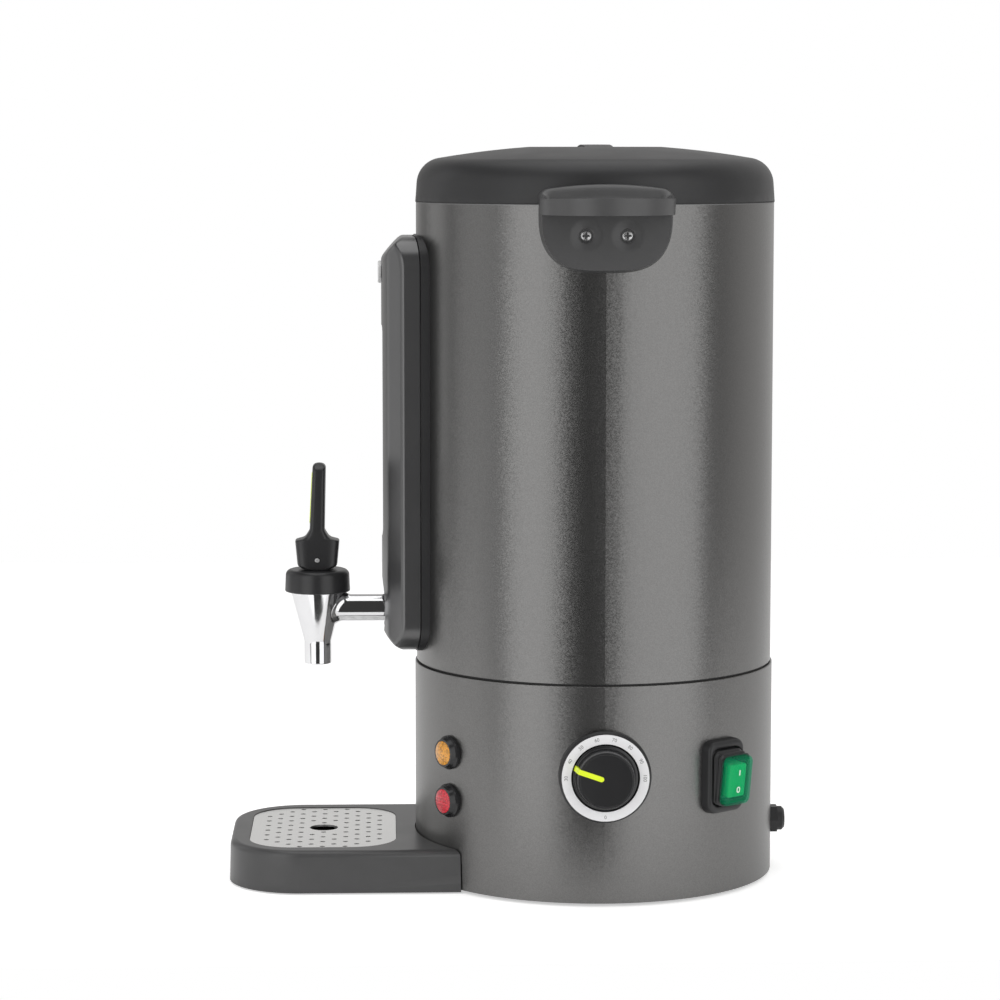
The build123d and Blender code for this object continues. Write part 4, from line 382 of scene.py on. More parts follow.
def moulded_plastic(name, colour, low=0.36, high=0.46, grain=0.35, depth=0.012, gloss=1.5):
    """Moulded plastic with a fine even grain and slightly uneven gloss; gloss is its refractive index."""
    plastic = Finish(name, colour, IOR=gloss)
    plastic.mottle(plastic.noise(12), 0.1)
    plastic.rough(plastic.noise(25), low, high)
    return plastic.relief(plastic.noise(grain), depth).material


def plated(name, colour, low=0.05, high=0.12):
    """Polished plating with faint wipe marks."""
    metal = Finish(name, colour, Metallic=1.0)
    metal.mottle(metal.noise(8), 0.04)
    metal.rough(metal.noise(6, 6), low, high)
    return metal.relief(metal.noise(9), 0.01, 0.3).material


def brushed(name, colour, stretch, low=0.22, high=0.36):
    """Steel brushed along one direction: noise drawn out along it."""
    metal = Finish(name, colour, Metallic=1.0)
    lines = metal.noise(0.6, 5, stretch)
    metal.mottle(lines, 0.06)
    metal.rough(lines, low, high)
    return metal.relief(lines, 0.01, 0.4).material


def rubber(name, colour):
    """Matt rubber with a soft bloom."""
    soft = Finish(name, colour)
    soft.mottle(soft.noise(4), 0.25)
    soft.rough(soft.noise(6), 0.6, 0.8)
    return soft.relief(soft.noise(0.8), 0.02).material


def lamp_glass(name, colour):
    """Tinted lamp plastic, glossy, with a fine uneven grain."""
    glass = Finish(name, colour, Coat_Weight=0.6, Coat_Roughness=0.08)
    glass.mottle(glass.specks(0.8), 0.4)
    glass.rough(glass.noise(1.5), 0.12, 0.25)
    return glass.relief(glass.noise(1.2), 0.05, 0.5).material


def clear_sheet(name, colour, rough=0.06, alpha=0.35):
    """Clear plastic or glass: part see-through, part gloss."""
    glass = Finish(name, colour, Alpha=alpha, Coat_Weight=0.5)
    glass.mottle(glass.noise(20), 0.03)
    return glass.rough(glass.noise(12), rough, rough + 0.06).material


def silver_paint(name, colour):
    """Light silver paint on plastic: partly metal, soft gloss and a very fine speckle."""
    paint = Finish(name, colour, Metallic=0.3)
    paint.mottle(paint.noise(0.5), 0.05)
    paint.rough(paint.noise(10), 0.45, 0.52)
    return paint.relief(paint.noise(0.3), 0.004).material


def tinted_cover(name, colour, tint=(0.55, 0.97, 0.8), dense=0.2):
    """Tinted soft plastic that lets the part behind show through in its tint.

    dense is the share of what is seen that is the cover's own surface."""
    cover = Finish(name, [c * 0.6 for c in colour], IOR=1.45)
    cover.mottle(cover.noise(5), 0.15)
    cover.rough(cover.noise(4), 0.1, 0.18)
    through = cover.node("ShaderNodeBsdfTransparent")
    through.inputs["Color"].default_value = (*tint, 1)
    mix = cover.node("ShaderNodeMixShader", Fac=dense)
    cover.links.new(through.outputs[0], mix.inputs[1])
    cover.links.new(cover.shader.outputs[0], mix.inputs[2])
    cover.links.new(mix.outputs[0], cover.output.inputs[0])
    return cover.material


MADE = {}          # the finishes made so far, by name


def finish_of(slot):
    """The material of a slot or a finish, made the first time it is asked for."""
    if slot in MADE:
        return MADE[slot]
    looks = bpy.context.scene.urn_finishes
    makers = {
        "grey_steel": lambda: graphite_paint(slot, looks.body_colour),
        "base_paint": lambda: graphite_paint(slot, looks.body_colour, 0.31),
        "housing_black": lambda: moulded_plastic(slot, (0.029, 0.029, 0.03), 0.26, 0.32, 0.9, 0.006, 2.0),
        "rim_steel": lambda: brushed(slot, (0.26, 0.26, 0.26), (1, 1, 0.02), 0.45, 0.55),
        "handle_black": lambda: moulded_plastic(slot, (0.058, 0.058, 0.059), 0.32, 0.4),
        "scale_print": lambda: moulded_plastic(slot, (0.2, 0.2, 0.2), 0.5, 0.6),
        "mark_white": lambda: moulded_plastic(slot, (0.8, 0.82, 0.8), 0.3, 0.4),
        "tray_grey": lambda: moulded_plastic(slot, (0.058, 0.058, 0.059), 0.3, 0.38, 0.7, 0.01),
        "cap_silver": lambda: moulded_plastic(slot, (0.6, 0.6, 0.6), 0.3, 0.4, 0.6, 0.004),
        "satin_black": lambda: moulded_plastic(slot, looks.plastic_colour, 0.3, 0.38, 0.5, 0.006),
        "grey_steel_dark": lambda: graphite_paint(slot, (0.07, 0.07, 0.072)),
        "foot_rubber": lambda: rubber(slot, (0.02, 0.02, 0.02)),
        "seam_black": lambda: moulded_plastic(slot, (0.012, 0.012, 0.012), 0.5, 0.6),
        "stainless_steel": lambda: brushed(slot, (0.6, 0.59, 0.57), (1, 1, 0.02)),
        "plate_aluminium": lambda: brushed(slot, (0.7, 0.7, 0.7), (1, 1, 1)),
        "element_steel": lambda: brushed(slot, (0.3, 0.28, 0.27), (1, 1, 1)),
        "zinc_steel": lambda: plated(slot, (0.6, 0.6, 0.62), 0.2, 0.35),
        "control_plastic": lambda: moulded_plastic(slot, (0.75, 0.73, 0.68)),
        "button_red": lambda: moulded_plastic(slot, (0.6, 0.03, 0.02), 0.2, 0.3),
        "black_plastic": lambda: moulded_plastic(slot, looks.plastic_colour),
        "lid_black": lambda: moulded_plastic(slot, looks.plastic_colour, 0.4, 0.5),
        "gloss_black": lambda: moulded_plastic(slot, (0.016, 0.016, 0.017), 0.2, 0.28, 0.6, 0.004),
        "dial_silver": lambda: silver_paint(slot, (0.84, 0.84, 0.85)),
        "lime_green": lambda: moulded_plastic(slot, looks.pointer_colour, 0.25, 0.35, 0.6, 0.004),
        "lens_amber": lambda: lamp_glass(slot, looks.amber_colour),
        "lens_red": lambda: lamp_glass(slot, looks.red_colour),
        "rocker_green": lambda: moulded_plastic(slot, looks.rocker_colour, 0.15, 0.25, 0.6, 0.004),
        "boot_clear": lambda: tinted_cover(slot, looks.rocker_colour),
        "screw_steel": lambda: plated(slot, (0.62, 0.62, 0.62), 0.36, 0.44),
        "window_clear": lambda: clear_sheet(slot, (0.75, 0.78, 0.8), 0.04, 0.2),
        "gauge_glass": lambda: clear_sheet(slot, (0.85, 0.88, 0.9), 0.03, 0.25),
        "seal_rubber": lambda: rubber(slot, (0.72, 0.7, 0.68)),
        "tap_chrome": lambda: plated(slot, (0.78, 0.78, 0.79)),
        "spring_steel": lambda: plated(slot, (0.7, 0.7, 0.7)),
        "brass_nut": lambda: plated(slot, (0.72, 0.55, 0.25), 0.2, 0.3),
        "tray_steel": lambda: brushed(slot, (0.93, 0.93, 0.92), (0.03, 1, 1), 0.3, 0.4),
    }
    MADE[slot] = makers[slot]()
    return MADE[slot]


# ================================================================ settings
class UrnSizes(bpy.types.PropertyGroup):
    dish_depth: FloatProperty(
        name="Handle dish", description="Depth of the hollow in each handle's top", unit="LENGTH",
        default=8.5 * MM, min=0, max=12 * MM, precision=4)
    numeral_size: FloatProperty(
        name="Numerals", description="Height of the numbers round the dial", unit="LENGTH",
        default=3.0 * MM, min=1 * MM, max=5 * MM, precision=4)
    facet_width: FloatProperty(
        name="Lamp facets", description="Width of the small cushions cut in the lamp lenses",
        unit="LENGTH", default=1.5 * MM, min=0.5 * MM, max=5 * MM, precision=4)
    skirt_folds: IntProperty(
        name="Switch folds", description="Number of folds in the skirt round the mains switch",
        default=3, min=1, max=6)
    spring_turns: FloatProperty(
        name="Spring turns", description="Number of turns in the tap's spring", default=6.5, min=3, max=12)


class UrnFinishes(bpy.types.PropertyGroup):
    body_colour: FloatVectorProperty(
        name="Body paint", description="Colour of the drum's metallic paint", subtype="COLOR", size=3,
        min=0, max=1, default=(0.19, 0.188, 0.185))
    plastic_colour: FloatVectorProperty(
        name="Black plastic", description="Colour of the lid, the handles and the gauge housing",
        subtype="COLOR", size=3, min=0, max=1, default=(0.016, 0.016, 0.017))
    pointer_colour: FloatVectorProperty(
        name="Pointer", description="Colour of the knob's pointer and the lever's inlay", subtype="COLOR",
        size=3, min=0, max=1, default=(0.7, 0.85, 0.02))
    amber_colour: FloatVectorProperty(
        name="Amber lamp", description="Colour of the upper lamp", subtype="COLOR", size=3, min=0, max=1,
        default=(0.58, 0.25, 0.02))
    red_colour: FloatVectorProperty(
        name="Red lamp", description="Colour of the lower lamp", subtype="COLOR", size=3, min=0, max=1,
        default=(0.5, 0.015, 0.03))
    rocker_colour: FloatVectorProperty(
        name="Rocker", description="Colour of the mains switch", subtype="COLOR", size=3, min=0, max=1,
        default=(0.03, 0.62, 0.33))


class UrnStage(bpy.types.PropertyGroup):
    lamp_level: FloatProperty(
        name="Lamp level", description="Brightness of the soft lamps, where 1 looks white", default=1.5,
        min=0, soft_max=4)
    sky_level: FloatProperty(
        name="Room level", description="Brightness of the room behind the urn", default=0.68, min=0,
        soft_max=2)


class UrnPiece:
    """What every operator here shares."""
    bl_options = {"REGISTER", "UNDO"}


# ================================================================ pieces
OWN_FINISH = {                              # parts whose finish differs a little from their slot's
    "base_shell": "base_paint", "drip_tray": "tray_grey", "cover_cap": "cap_silver",
    "lamp_bezels": "gloss_black", "inner_pot": "rim_steel",
}


class URN_OT_plain_parts(UrnPiece, bpy.types.Operator):
    """Gives every part of the frame its finish"""
    bl_idname = "urn.plain_parts"
    bl_label = "Finish the frame's parts"

    def execute(self, context):
        for node, piece in NODES.items():
            for place in piece.material_slots:
                place.material = finish_of(OWN_FINISH.get(node, SLOT_OF[node]))
        for node, width in (("lid_shell", 0.9), ("drip_tray", 0.5)):
            soften(node, width)
        return {"FINISHED"}


# ---------------------------------------------------------------- handles
HANDLE_HALF = 39.0
HANDLE_BACK = JACKET_RADIUS + 0.1
HANDLE_CLEAR = 1.6                          # how far the upper back stands off, to clear the lid
HANDLE_STEP = (409.5, 412.5)                # heights between which it draws off
HANDLE_FACE = JACKET_RADIUS + 4.4
HANDLE_FACE_INSET = 1.6
HANDLE_TOP, HANDLE_TOP_ARCH = 424.4, 3.4
HANDLE_EAR, EAR_FALL = 6.0, 0.6             # width of the top's rounded ends, and their depth over it
HANDLE_LOW, HANDLE_WAIST = 373.2, 406.0     # lowest point, and where the rounded lower outline starts
LOWER_POWERS = (3.2, 2.4)                   # fullness of that outline, across and down
LIP_LOW, LIP_HIGH, LIP_ARCH = 407.0, 416.9, 0.8
LIP_CENTRE, LIP_RADIUS = JACKET_RADIUS + 3.5, 39.9
LIP_DRAFT = (0.3, 0.4)                      # how far its lower edge draws in, at the ends and in front
DISH_RIM = 1.3
DISH_REAR_SLOPE, DISH_LIP_SLOPE = 8.0, 9.0  # where the dish reaches its depth, from the back and the lip
SCREW_PLACES = ((-12.0, 394.8), (12.0, 394.8))
SCREW_HOLLOW = (1.0, 3.0, 10.0)             # depth, inner and outer radius of the hollow round a screw
SCREW_BORE = (1.2, 3.7, 4.4)                # and of the hole for its head
SCREW_SEAT = HANDLE_FACE - 3.2              # where a screw's head starts
SCREW_HEAD = (3.6, 2.3)                     # radius and height
SCREW_SHANK = (2.0, 14.0)                   # radius and length
CROSS_HALF, CROSS_REACH = (0.35, 0.7), (1.95, 2.45)     # an arm's half width and reach, floor to brim
CROSS_DEPTH = 1.5


def lower_outline(across, half):
    """Height of the handle's lower outline: a superellipse, |y / half|^p + (drop / full drop)^q = 1."""
    p, q = LOWER_POWERS
    inside = 1 - np.abs(np.clip(across / half, -1, 1)) ** p
    return HANDLE_WAIST - (HANDLE_WAIST - HANDLE_LOW) * inside ** (1 / q)


def handle_grid(dish_depth):
    """Rows that go up the back and over the dished top to the lip's upper edge, then from the lip's lower
    edge under the lip and down the plate's face. Columns run across; the end columns are its two sides."""
    spread = np.sin(np.linspace(-math.pi / 2, math.pi / 2, 181))
    y = HANDLE_HALF * spread

    def row(x, across, z):
        return np.stack(np.broadcast_arrays(x, across, z), -1)

    low = lower_outline(y, HANDLE_HALF)
    corner = np.clip(np.abs(y) - (HANDLE_HALF - HANDLE_EAR), 0, None)
    ear = EAR_FALL * (HANDLE_EAR - np.sqrt(HANDLE_EAR ** 2 - corner ** 2))
    top = HANDLE_TOP - HANDLE_TOP_ARCH * spread ** 2 - ear
    rows = []
    for share in np.linspace(0, 1, 14):                       # up the back
        z = low + (top - low) * share
        reach = HANDLE_BACK + HANDLE_CLEAR * eased(z, *HANDLE_STEP)
        rows.append(row(np.sqrt(reach ** 2 - y ** 2), y, z))
    rear = rows[-1][:, 0]
    tip = LIP_CENTRE + np.sqrt(LIP_RADIUS ** 2 - y ** 2)
    lip = LIP_HIGH - LIP_ARCH * spread ** 2
    for share in np.linspace(0, 1, 40)[1:]:                   # over the dished top
        x = rear + (tip - rear) * share
        from_lip = LIP_RADIUS - np.hypot(np.maximum(x - LIP_CENTRE, 0), y)
        hollow = eased(x - rear, DISH_RIM, DISH_REAR_SLOPE) * eased(from_lip, DISH_RIM, DISH_LIP_SLOPE)
        rows.append(row(x, y, top + (lip - top) * eased(share, -0.1, 1.0) - dish_depth * hollow))
    lip_y = (HANDLE_HALF - LIP_DRAFT[0]) * spread
    lip_tip = LIP_CENTRE + np.sqrt((LIP_RADIUS - LIP_DRAFT[1]) ** 2 - lip_y ** 2)
    face_half = HANDLE_HALF - HANDLE_FACE_INSET
    face_y = face_half * spread
    for share in np.linspace(0, 1, 12):                       # under the lip
        narrow = lip_y * (1 - share) + face_y * share
        rows.append(row(lip_tip + (HANDLE_FACE - lip_tip) * share, narrow, LIP_LOW + 0 * y))
    face_low = lower_outline(face_y, face_half) + HANDLE_FACE_INSET * (1 - spread ** 2)
    face_low = np.minimum(face_low, LIP_LOW)
    for share in np.linspace(0, 1, 62)[1:]:                   # down the plate's face
        z = LIP_LOW + (face_low - LIP_LOW) * share
        x = np.full_like(y, HANDLE_FACE)
        for place, height in SCREW_PLACES:
            away = np.hypot(face_y - place, z - height)
            x = x - pit(away, *SCREW_HOLLOW) - pit(away, *SCREW_BORE)
        rows.append(row(x, face_y, z))
    return np.stack(rows)


def cross_screw():
    """A pan head with a cross recess: height h (0.7 + 0.3 (1 - (r / R)^2)) sqrt(1 - (r / R)^8), less the
    recess where either arm runs."""
    radius, height = SCREW_HEAD
    r = radius * np.sin(np.linspace(0, math.pi / 2, 30))[:, None]
    angle = np.arange(96) * 2 * math.pi / 96
    across, up = r * np.cos(angle), r * np.sin(angle)
    rim = np.clip(1 - (r / radius) ** 8, 0, 1) ** 0.5
    dome = height * (0.7 + 0.3 * (1 - (r / radius) ** 2)) * rim + 0 * angle

    def arm(along, beside):
        return pit(np.abs(beside), 1, *CROSS_HALF) * pit(np.abs(along), 1, *CROSS_REACH)

    cut = np.maximum(arm(across, up), arm(up, across))
    head = np.stack([across, up, dome - CROSS_DEPTH * cut * (1 - 0.5 * r / radius)], -1)
    stem, length = SCREW_SHANK
    shank = turned([(radius, 0), (stem, 0), (stem, -length), (0, -length)])
    return np.concatenate([head, shank])


class URN_OT_handles(UrnPiece, bpy.types.Operator):
    """Makes the two side handles and the cross-head screws that hold them"""
    bl_idname = "urn.handles"
    bl_label = "Make the handles"

    def execute(self, context):
        grid = handle_grid(in_mm(context.scene.urn_sizes.dish_depth))
        screws = []
        for node, side in (("handle_right", 1), ("handle_left", -1)):
            turn = np.array([side, side, 1])
            shell = sheet(grid * turn, around=False, closed=True)
            caps = [end_cap(grid[:, k] * turn) for k in (0, -1)]
            piece = new_piece(node + "_form", [shell, *caps], "handle_black", BODY_OF[node], (node,), 50)
            round_edges(piece, 0.7, 40)
            for place, height in SCREW_PLACES:
                head = cross_screw() + (place, 0, SCREW_SEAT)
                screws.append(sheet(facing(head, RIGHT if side > 0 else LEFT, height)))
        new_piece("handle_screw_forms", screws, "screw_steel", BODY_OF["handle_screws"], ("handle_screws",))
        return {"FINISHED"}


# ---------------------------------------------------------------- painted shadow under the lid's edge
# Painted shade: a thin dark ring, 0.26 mm thick, put in the gap between the lid and the pot's rim, where
# there is only shadow.
GAP_SHADOW_LOW, GAP_SHADOW_HIGH = 412.5, 413.3
GAP_SHADOW_INNER = JACKET_RADIUS + 0.02
GAP_SHADOW_OUTER = GAP_SHADOW_INNER + 0.26


class URN_OT_gap_shadow_ring(UrnPiece, bpy.types.Operator):
    """Makes a thin dark ring under the lid's edge, over the pot's rim: painted shadow for the gap between
    them
    """
    bl_idname = "urn.seal_lip"
    bl_label = "Make the lid's painted gap shadow"

    def execute(self, context):
        profile = rounded([(GAP_SHADOW_INNER, GAP_SHADOW_LOW), (GAP_SHADOW_OUTER, GAP_SHADOW_LOW),
                           (GAP_SHADOW_OUTER, GAP_SHADOW_HIGH), (GAP_SHADOW_INNER, GAP_SHADOW_HIGH)],
                          [0.06] * 4, steps=3, closed=True)
        # The dark ring stands in for the gap's shadow and rides with the lid; it borrows the feet's rubber
        # finish.
        new_piece("lid_gap_shadow_ring", [sheet(turned(profile, 256), closed=True)], "foot_rubber",
                  BODY_OF["lid_shell"])
        return {"FINISHED"}


# ---------------------------------------------------------------- gauge housing
HOUSING_HALF, HOUSING_CORNER = 40.2, 19.5
HOUSING_INSET = 0.1                         # from the ends of the solid cover
HOUSING_LOW = extent("gauge_cover")[0][2] + HOUSING_INSET
HOUSING_HIGH = extent("gauge_cover")[1][2] - HOUSING_INSET
HOUSING_CROWN = JACKET_RADIUS + 21.3
CROWN_HALF, CROWN_FALL = 26.0, 3.7
SHOULDER_FALL = 12.4
TOP_FALL, TOP_SLOPE = 11.8, 0.95            # below the crown at the very top, and rise per millimetre
FOOT_FALL, FOOT_SLOPE = 11.4, 1.1           # the same at the foot
SHOULDER_CREASE, END_CREASE, SCOOP_CREASE = 0.8, 2.2, 1.2
HOUSING_ROUND = 1.7
HOUSING_WALL = 2.2
PARTING_CROWN, PARTING_FALL = JACKET_RADIUS + 2.1, 4.3
PARTING_INSET, PARTING_EDGE = 0.5, 0.4      # the small chamfer along the parting line
SHANK_HEIGHT = 163.6
SCOOP_FLOOR, SCOOP_RADIUS = HOUSING_CROWN - 7.5, 12.0
SCOOP_FLARE, SCOOP_RISE = 7.0, 8.5          # width of the scoop's sloping brim, and its rise over it
SIGHT_HALF, SIGHT_CORNER = 11.1, 5.0
SIGHT_LOW, SIGHT_HIGH = 208.0, 338.0
SIGHT_EDGE = ((0.12, 0.1), (0.3, 0.4), (0.35, 1.0), (0.35, 4.0))    # inset and drop, from face to inside
SIGHT_LIP = 1.8                             # how much deeper than the wall its edge reaches


def housing_face(across, height):
    """Distance of the housing's face from the urn's axis: the least of a shallow round crown, a sloping
    flat, the end slopes and the scoop round the tap's shank, with soft creases between them."""
    a = np.abs(across)
    radius = (CROWN_HALF ** 2 + CROWN_FALL ** 2) / (2 * CROWN_FALL)
    crown = HOUSING_CROWN - radius + np.sqrt(radius ** 2 - across ** 2)
    slope = (SHOULDER_FALL - CROWN_FALL) / (HOUSING_HALF - CROWN_HALF)
    shoulder = HOUSING_CROWN - CROWN_FALL - slope * (a - CROWN_HALF)
    face = soft_min(crown, shoulder, SHOULDER_CREASE)
    face = soft_min(face, HOUSING_CROWN - TOP_FALL + TOP_SLOPE * (HOUSING_HIGH - height), END_CREASE)
    face = soft_min(face, HOUSING_CROWN - FOOT_FALL + FOOT_SLOPE * (height - HOUSING_LOW), END_CREASE)
    away = np.hypot(across, height - SHANK_HEIGHT)
    brim = SCOOP_FLOOR + SCOOP_RISE * np.clip(away - SCOOP_RADIUS, 0, None) / SCOOP_FLARE
    return soft_min(face, brim, SCOOP_CREASE)


def housing_grid():
    """Closed loops from the parting line up the side, over the round edge, across the face to the sight
    opening, in through it and back along the inside."""
    middle, half_height = (HOUSING_LOW + HOUSING_HIGH) / 2, (HOUSING_HIGH - HOUSING_LOW) / 2
    counts = dict(arc=18, wide=36, tall=110)

    def loop(inset):
        flat = rounded_box(HOUSING_HALF - inset, half_height - inset, HOUSING_CORNER - inset, **counts)
        return flat + (0, middle)

    sight = rounded_box(SIGHT_HALF, (SIGHT_HIGH - SIGHT_LOW) / 2, SIGHT_CORNER, **counts)
    sight = sight + (0, (SIGHT_HIGH + SIGHT_LOW) / 2)

    def lifted(flat, depth):
        return np.column_stack([flat, depth])

    def parting(flat):
        return PARTING_CROWN - PARTING_FALL * (flat[:, 0] / HOUSING_HALF) ** 2

    edge = loop(0)
    start = parting(edge) + PARTING_EDGE
    brow = np.maximum(housing_face(*edge.T) - HOUSING_ROUND, start + 0.5)
    rows = [lifted(loop(PARTING_INSET), parting(edge)), lifted(edge, start)]
    for share in np.linspace(0, 1, 8)[1:-1]:
        rows.append(lifted(edge, start + (brow - start) * share))
    for turn in np.linspace(0, math.pi / 2, 8):
        flat = loop(HOUSING_ROUND * (1 - math.cos(turn)))
        drop = HOUSING_ROUND * (1 - math.sin(turn))
        rows.append(lifted(flat, np.maximum(housing_face(*flat.T) - drop, parting(flat) + 0.9)))
    inner = loop(HOUSING_ROUND)
    for share in np.linspace(0, 1, 56)[1:]:
        flat = inner * (1 - share) + sight * share
        rows.append(lifted(flat, housing_face(*flat.T)))
    for inset, drop in SIGHT_EDGE:
        flat = sight - inset * (sight - sight.mean(0)) / np.abs(sight - sight.mean(0)).max(0)
        rows.append(lifted(flat, housing_face(*sight.T) - drop))
    for share in np.linspace(1, 0, 10):
        flat = loop(HOUSING_WALL) * (1 - share) + sight * share
        depth = np.maximum(housing_face(*flat.T) - HOUSING_WALL - SIGHT_LIP * share, parting(flat) + 0.2)
        rows.append(lifted(flat, depth))
    grid = np.stack(rows)
    return np.stack([grid[..., 0], -grid[..., 2], grid[..., 1]], -1)


class URN_OT_gauge_housing(UrnPiece, bpy.types.Operator):
    """Makes the moulded housing over the sight gauge"""
    bl_idname = "urn.gauge_housing"
    bl_label = "Make the gauge housing"

    def execute(self, context):
        new_piece("gauge_housing", [sheet(housing_grid(), closed=True)], "housing_black",
                  BODY_OF["gauge_cover"], ("gauge_cover",), 38)
        return {"FINISHED"}


# ---------------------------------------------------------------- dial
DIAL_HEIGHT = 78.6
SCALE_RADIUS, SCALE_THICK = 23.1, 0.04
RING_FACE = extent("dial_ring")[1][0]
FIRST_MARK, MARK_STEP, MARK_COUNT = 30, 10, 8
SCALE_MARKS = (("0", -90.0),) + tuple(      # each text and its angle round the dial
    (str(FIRST_MARK + MARK_STEP * i), 180.0 - i * 180.0 / (MARK_COUNT - 1)) for i in range(MARK_COUNT))


def lettering(text, size, thick):
    """Letters as a closed mesh, centred, lying across and up, from a font curve that is made a mesh."""
    curve = bpy.data.curves.new("letters", "FONT")
    curve.body, curve.size, curve.extrude, curve.resolution_u = text, size, thick, 3
    curve.align_x, curve.align_y = "CENTER", "CENTER"
    holder = new_object("letters", curve)
    bpy.context.view_layer.update()
    mesh = bpy.data.meshes.new_from_object(holder)
    mesh.calc_loop_triangles()
    points = np.empty(len(mesh.vertices) * 3)
    corners = np.empty(len(mesh.loop_triangles) * 3, int)
    mesh.vertices.foreach_get("co", points)
    mesh.loop_triangles.foreach_get("vertices", corners)
    bpy.data.objects.remove(holder)
    bpy.data.curves.remove(curve)
    bpy.data.meshes.remove(mesh)
    return points.reshape(-1, 3), corners.reshape(-1, 3)


class URN_OT_dial_scale(UrnPiece, bpy.types.Operator):
    """Prints the scale of numbers on the dial's silver ring"""
    bl_idname = "urn.dial_scale"
    bl_label = "Print the dial's scale"

    def execute(self, context):
        marks = []
        size = in_mm(context.scene.urn_sizes.numeral_size)
        for text, angle in SCALE_MARKS:
            points, corners = lettering(text, size, SCALE_THICK)
            turn = math.radians(angle - 90)
            spin = np.array([[math.cos(turn), -math.sin(turn)], [math.sin(turn), math.cos(turn)]])
            place = SCALE_RADIUS * np.array([math.cos(math.radians(angle)), math.sin(math.radians(angle))])
            flat = points[:, :2] @ spin.T + place
            lying = np.column_stack([flat, RING_FACE + SCALE_THICK / 2 + points[:, 2]])
            marks.append((facing(lying, RIGHT, DIAL_HEIGHT), corners))
        new_piece("dial_scale", marks, "scale_print", BODY_OF["dial_ring"])
        return {"FINISHED"}


# ---------------------------------------------------------------- knob
KNOB_FOOT, KNOB_TOP = BASE_RADIUS + 2.2, BASE_RADIUS + 16.2
KNOB_SKIRT, KNOB_WAIST, KNOB_FACE = 19.3, 17.6, 16.6
KNOB_SKIRT_TOP = KNOB_FOOT + 5.4
KNOB_EDGE, KNOB_SINK = 1.0, 0.3             # width of the face's raised edge, and the face's depth in it
KNOB_WALL = 2.2


class URN_OT_knob(UrnPiece, bpy.types.Operator):
    """Makes the control knob: a skirt, a tapered grip and a face inside a fine raised edge"""
    bl_idname = "urn.knob"
    bl_label = "Make the control knob"

    def execute(self, context):
        outer = rounded(
            [(0, KNOB_TOP - KNOB_SINK), (KNOB_FACE - KNOB_EDGE - KNOB_SINK, KNOB_TOP - KNOB_SINK),
             (KNOB_FACE - KNOB_EDGE, KNOB_TOP), (KNOB_FACE, KNOB_TOP),
             (KNOB_WAIST, KNOB_SKIRT_TOP), (KNOB_SKIRT, KNOB_SKIRT_TOP - 0.3),
             (KNOB_SKIRT, KNOB_FOOT), (KNOB_SKIRT - KNOB_WALL, KNOB_FOOT),
             (KNOB_FACE - KNOB_WALL, KNOB_TOP - KNOB_WALL), (0, KNOB_TOP - KNOB_WALL)],
            [0, 0.15, 0.15, 0.6, 0.9, 0.6, 0.4, 0.3, 1.0, 0])
        knob = sheet(facing(turned(outer, 128), RIGHT, DIAL_HEIGHT))
        new_piece("knob_form", [knob], "gloss_black", BODY_OF["knob"], ("knob",), 40)
        return {"FINISHED"}


# ---------------------------------------------------------------- lamps
LAMP_ANGLE = -55.0
LAMP_LENSES = (                             # node, height, finish and depth of its cushions
    ("lamp_lens_amber", 84.5, "lens_amber", 0.05),
    ("lamp_lens_red", 55.3, "lens_red", 0.12),
)
LENS_RADIUS, LENS_FOOT, LENS_RIM, LENS_DOME = 7.15, BASE_RADIUS + 2.0, BASE_RADIUS + 5.3, 1.1
LENS_MARGIN = (0.2, 1.2)                    # from the rim, where the cushions start and are full


class URN_OT_lamp_lenses(UrnPiece, bpy.types.Operator):
    """Makes the two lamp lenses, domed and cut all over into small cushions"""
    bl_idname = "urn.lamp_lenses"
    bl_label = "Make the lamp lenses"

    def execute(self, context):
        facet = in_mm(context.scene.urn_sizes.facet_width)
        r = LENS_RADIUS * np.sin(np.linspace(0, math.pi / 2, 46))[:, None]
        angle = np.arange(144) * 2 * math.pi / 144
        across, up = r * np.cos(angle), r * np.sin(angle)
        for node, height, finish, cut in LAMP_LENSES:
            cushions = np.abs(np.sin(math.pi * across / facet) * np.sin(math.pi * up / facet))
            fade = eased(LENS_RADIUS - r, *LENS_MARGIN)
            out = LENS_RIM + LENS_DOME * (1 - (r / LENS_RADIUS) ** 2) - cut * cushions * fade
            face = np.stack([across, up, out], -1)
            foot = turned([(LENS_RADIUS, LENS_FOOT), (0, LENS_FOOT)], 144)
            lens = sheet(facing(np.concatenate([face, foot]), LAMP_ANGLE, height))
            new_piece(node + "_dome", [lens], finish, BODY_OF[node], (node,), 50)
        return {"FINISHED"}


# ---------------------------------------------------------------- mains switch
SWITCH_ANGLE, SWITCH_HEIGHT, SWITCH_TILT = 40.0, 73.8, 6.5
SWITCH_PIVOT = BASE_RADIUS + 0.9
SURROUND = (15.0, 22.0, 6.5)                # half width, half height and corner, as in each outline below
SURROUND_WINDOW = (12.3, 17.0, 5.0)
SURROUND_FACE = BASE_RADIUS + 6.0
COVER = (11.0, 14.75, 4.0)
COVER_FACE = BASE_RADIUS + 15.8
COVER_FOOT = BASE_RADIUS + 11.3
COVER_WALL = 1.2
COVER_SINK = 0.25                           # how far the cover's middle lies below its brow
COVER_BROW, COVER_MIDDLE = 2.6, 6.0         # insets of the brow's inner edge and of the flat middle
SKIRT = (12.2, 16.6, 4.6)
SKIRT_LOW, SKIRT_HIGH = SURROUND_FACE - 2.6, COVER_FOOT + 0.6
SKIRT_FOLD, SKIRT_TAPER, SKIRT_WALL = 1.3, 1.1, 0.8
BEND_LOW, BEND_HIGH = SURROUND_FACE - 1.5, COVER_FOOT     # where the skirt starts to lean, and fully leans
ROCKER = (6.9, 10.0, 1.5)
ROCKER_FOOT, ROCKER_FACE = BASE_RADIUS + 3.4, BASE_RADIUS + 14.2
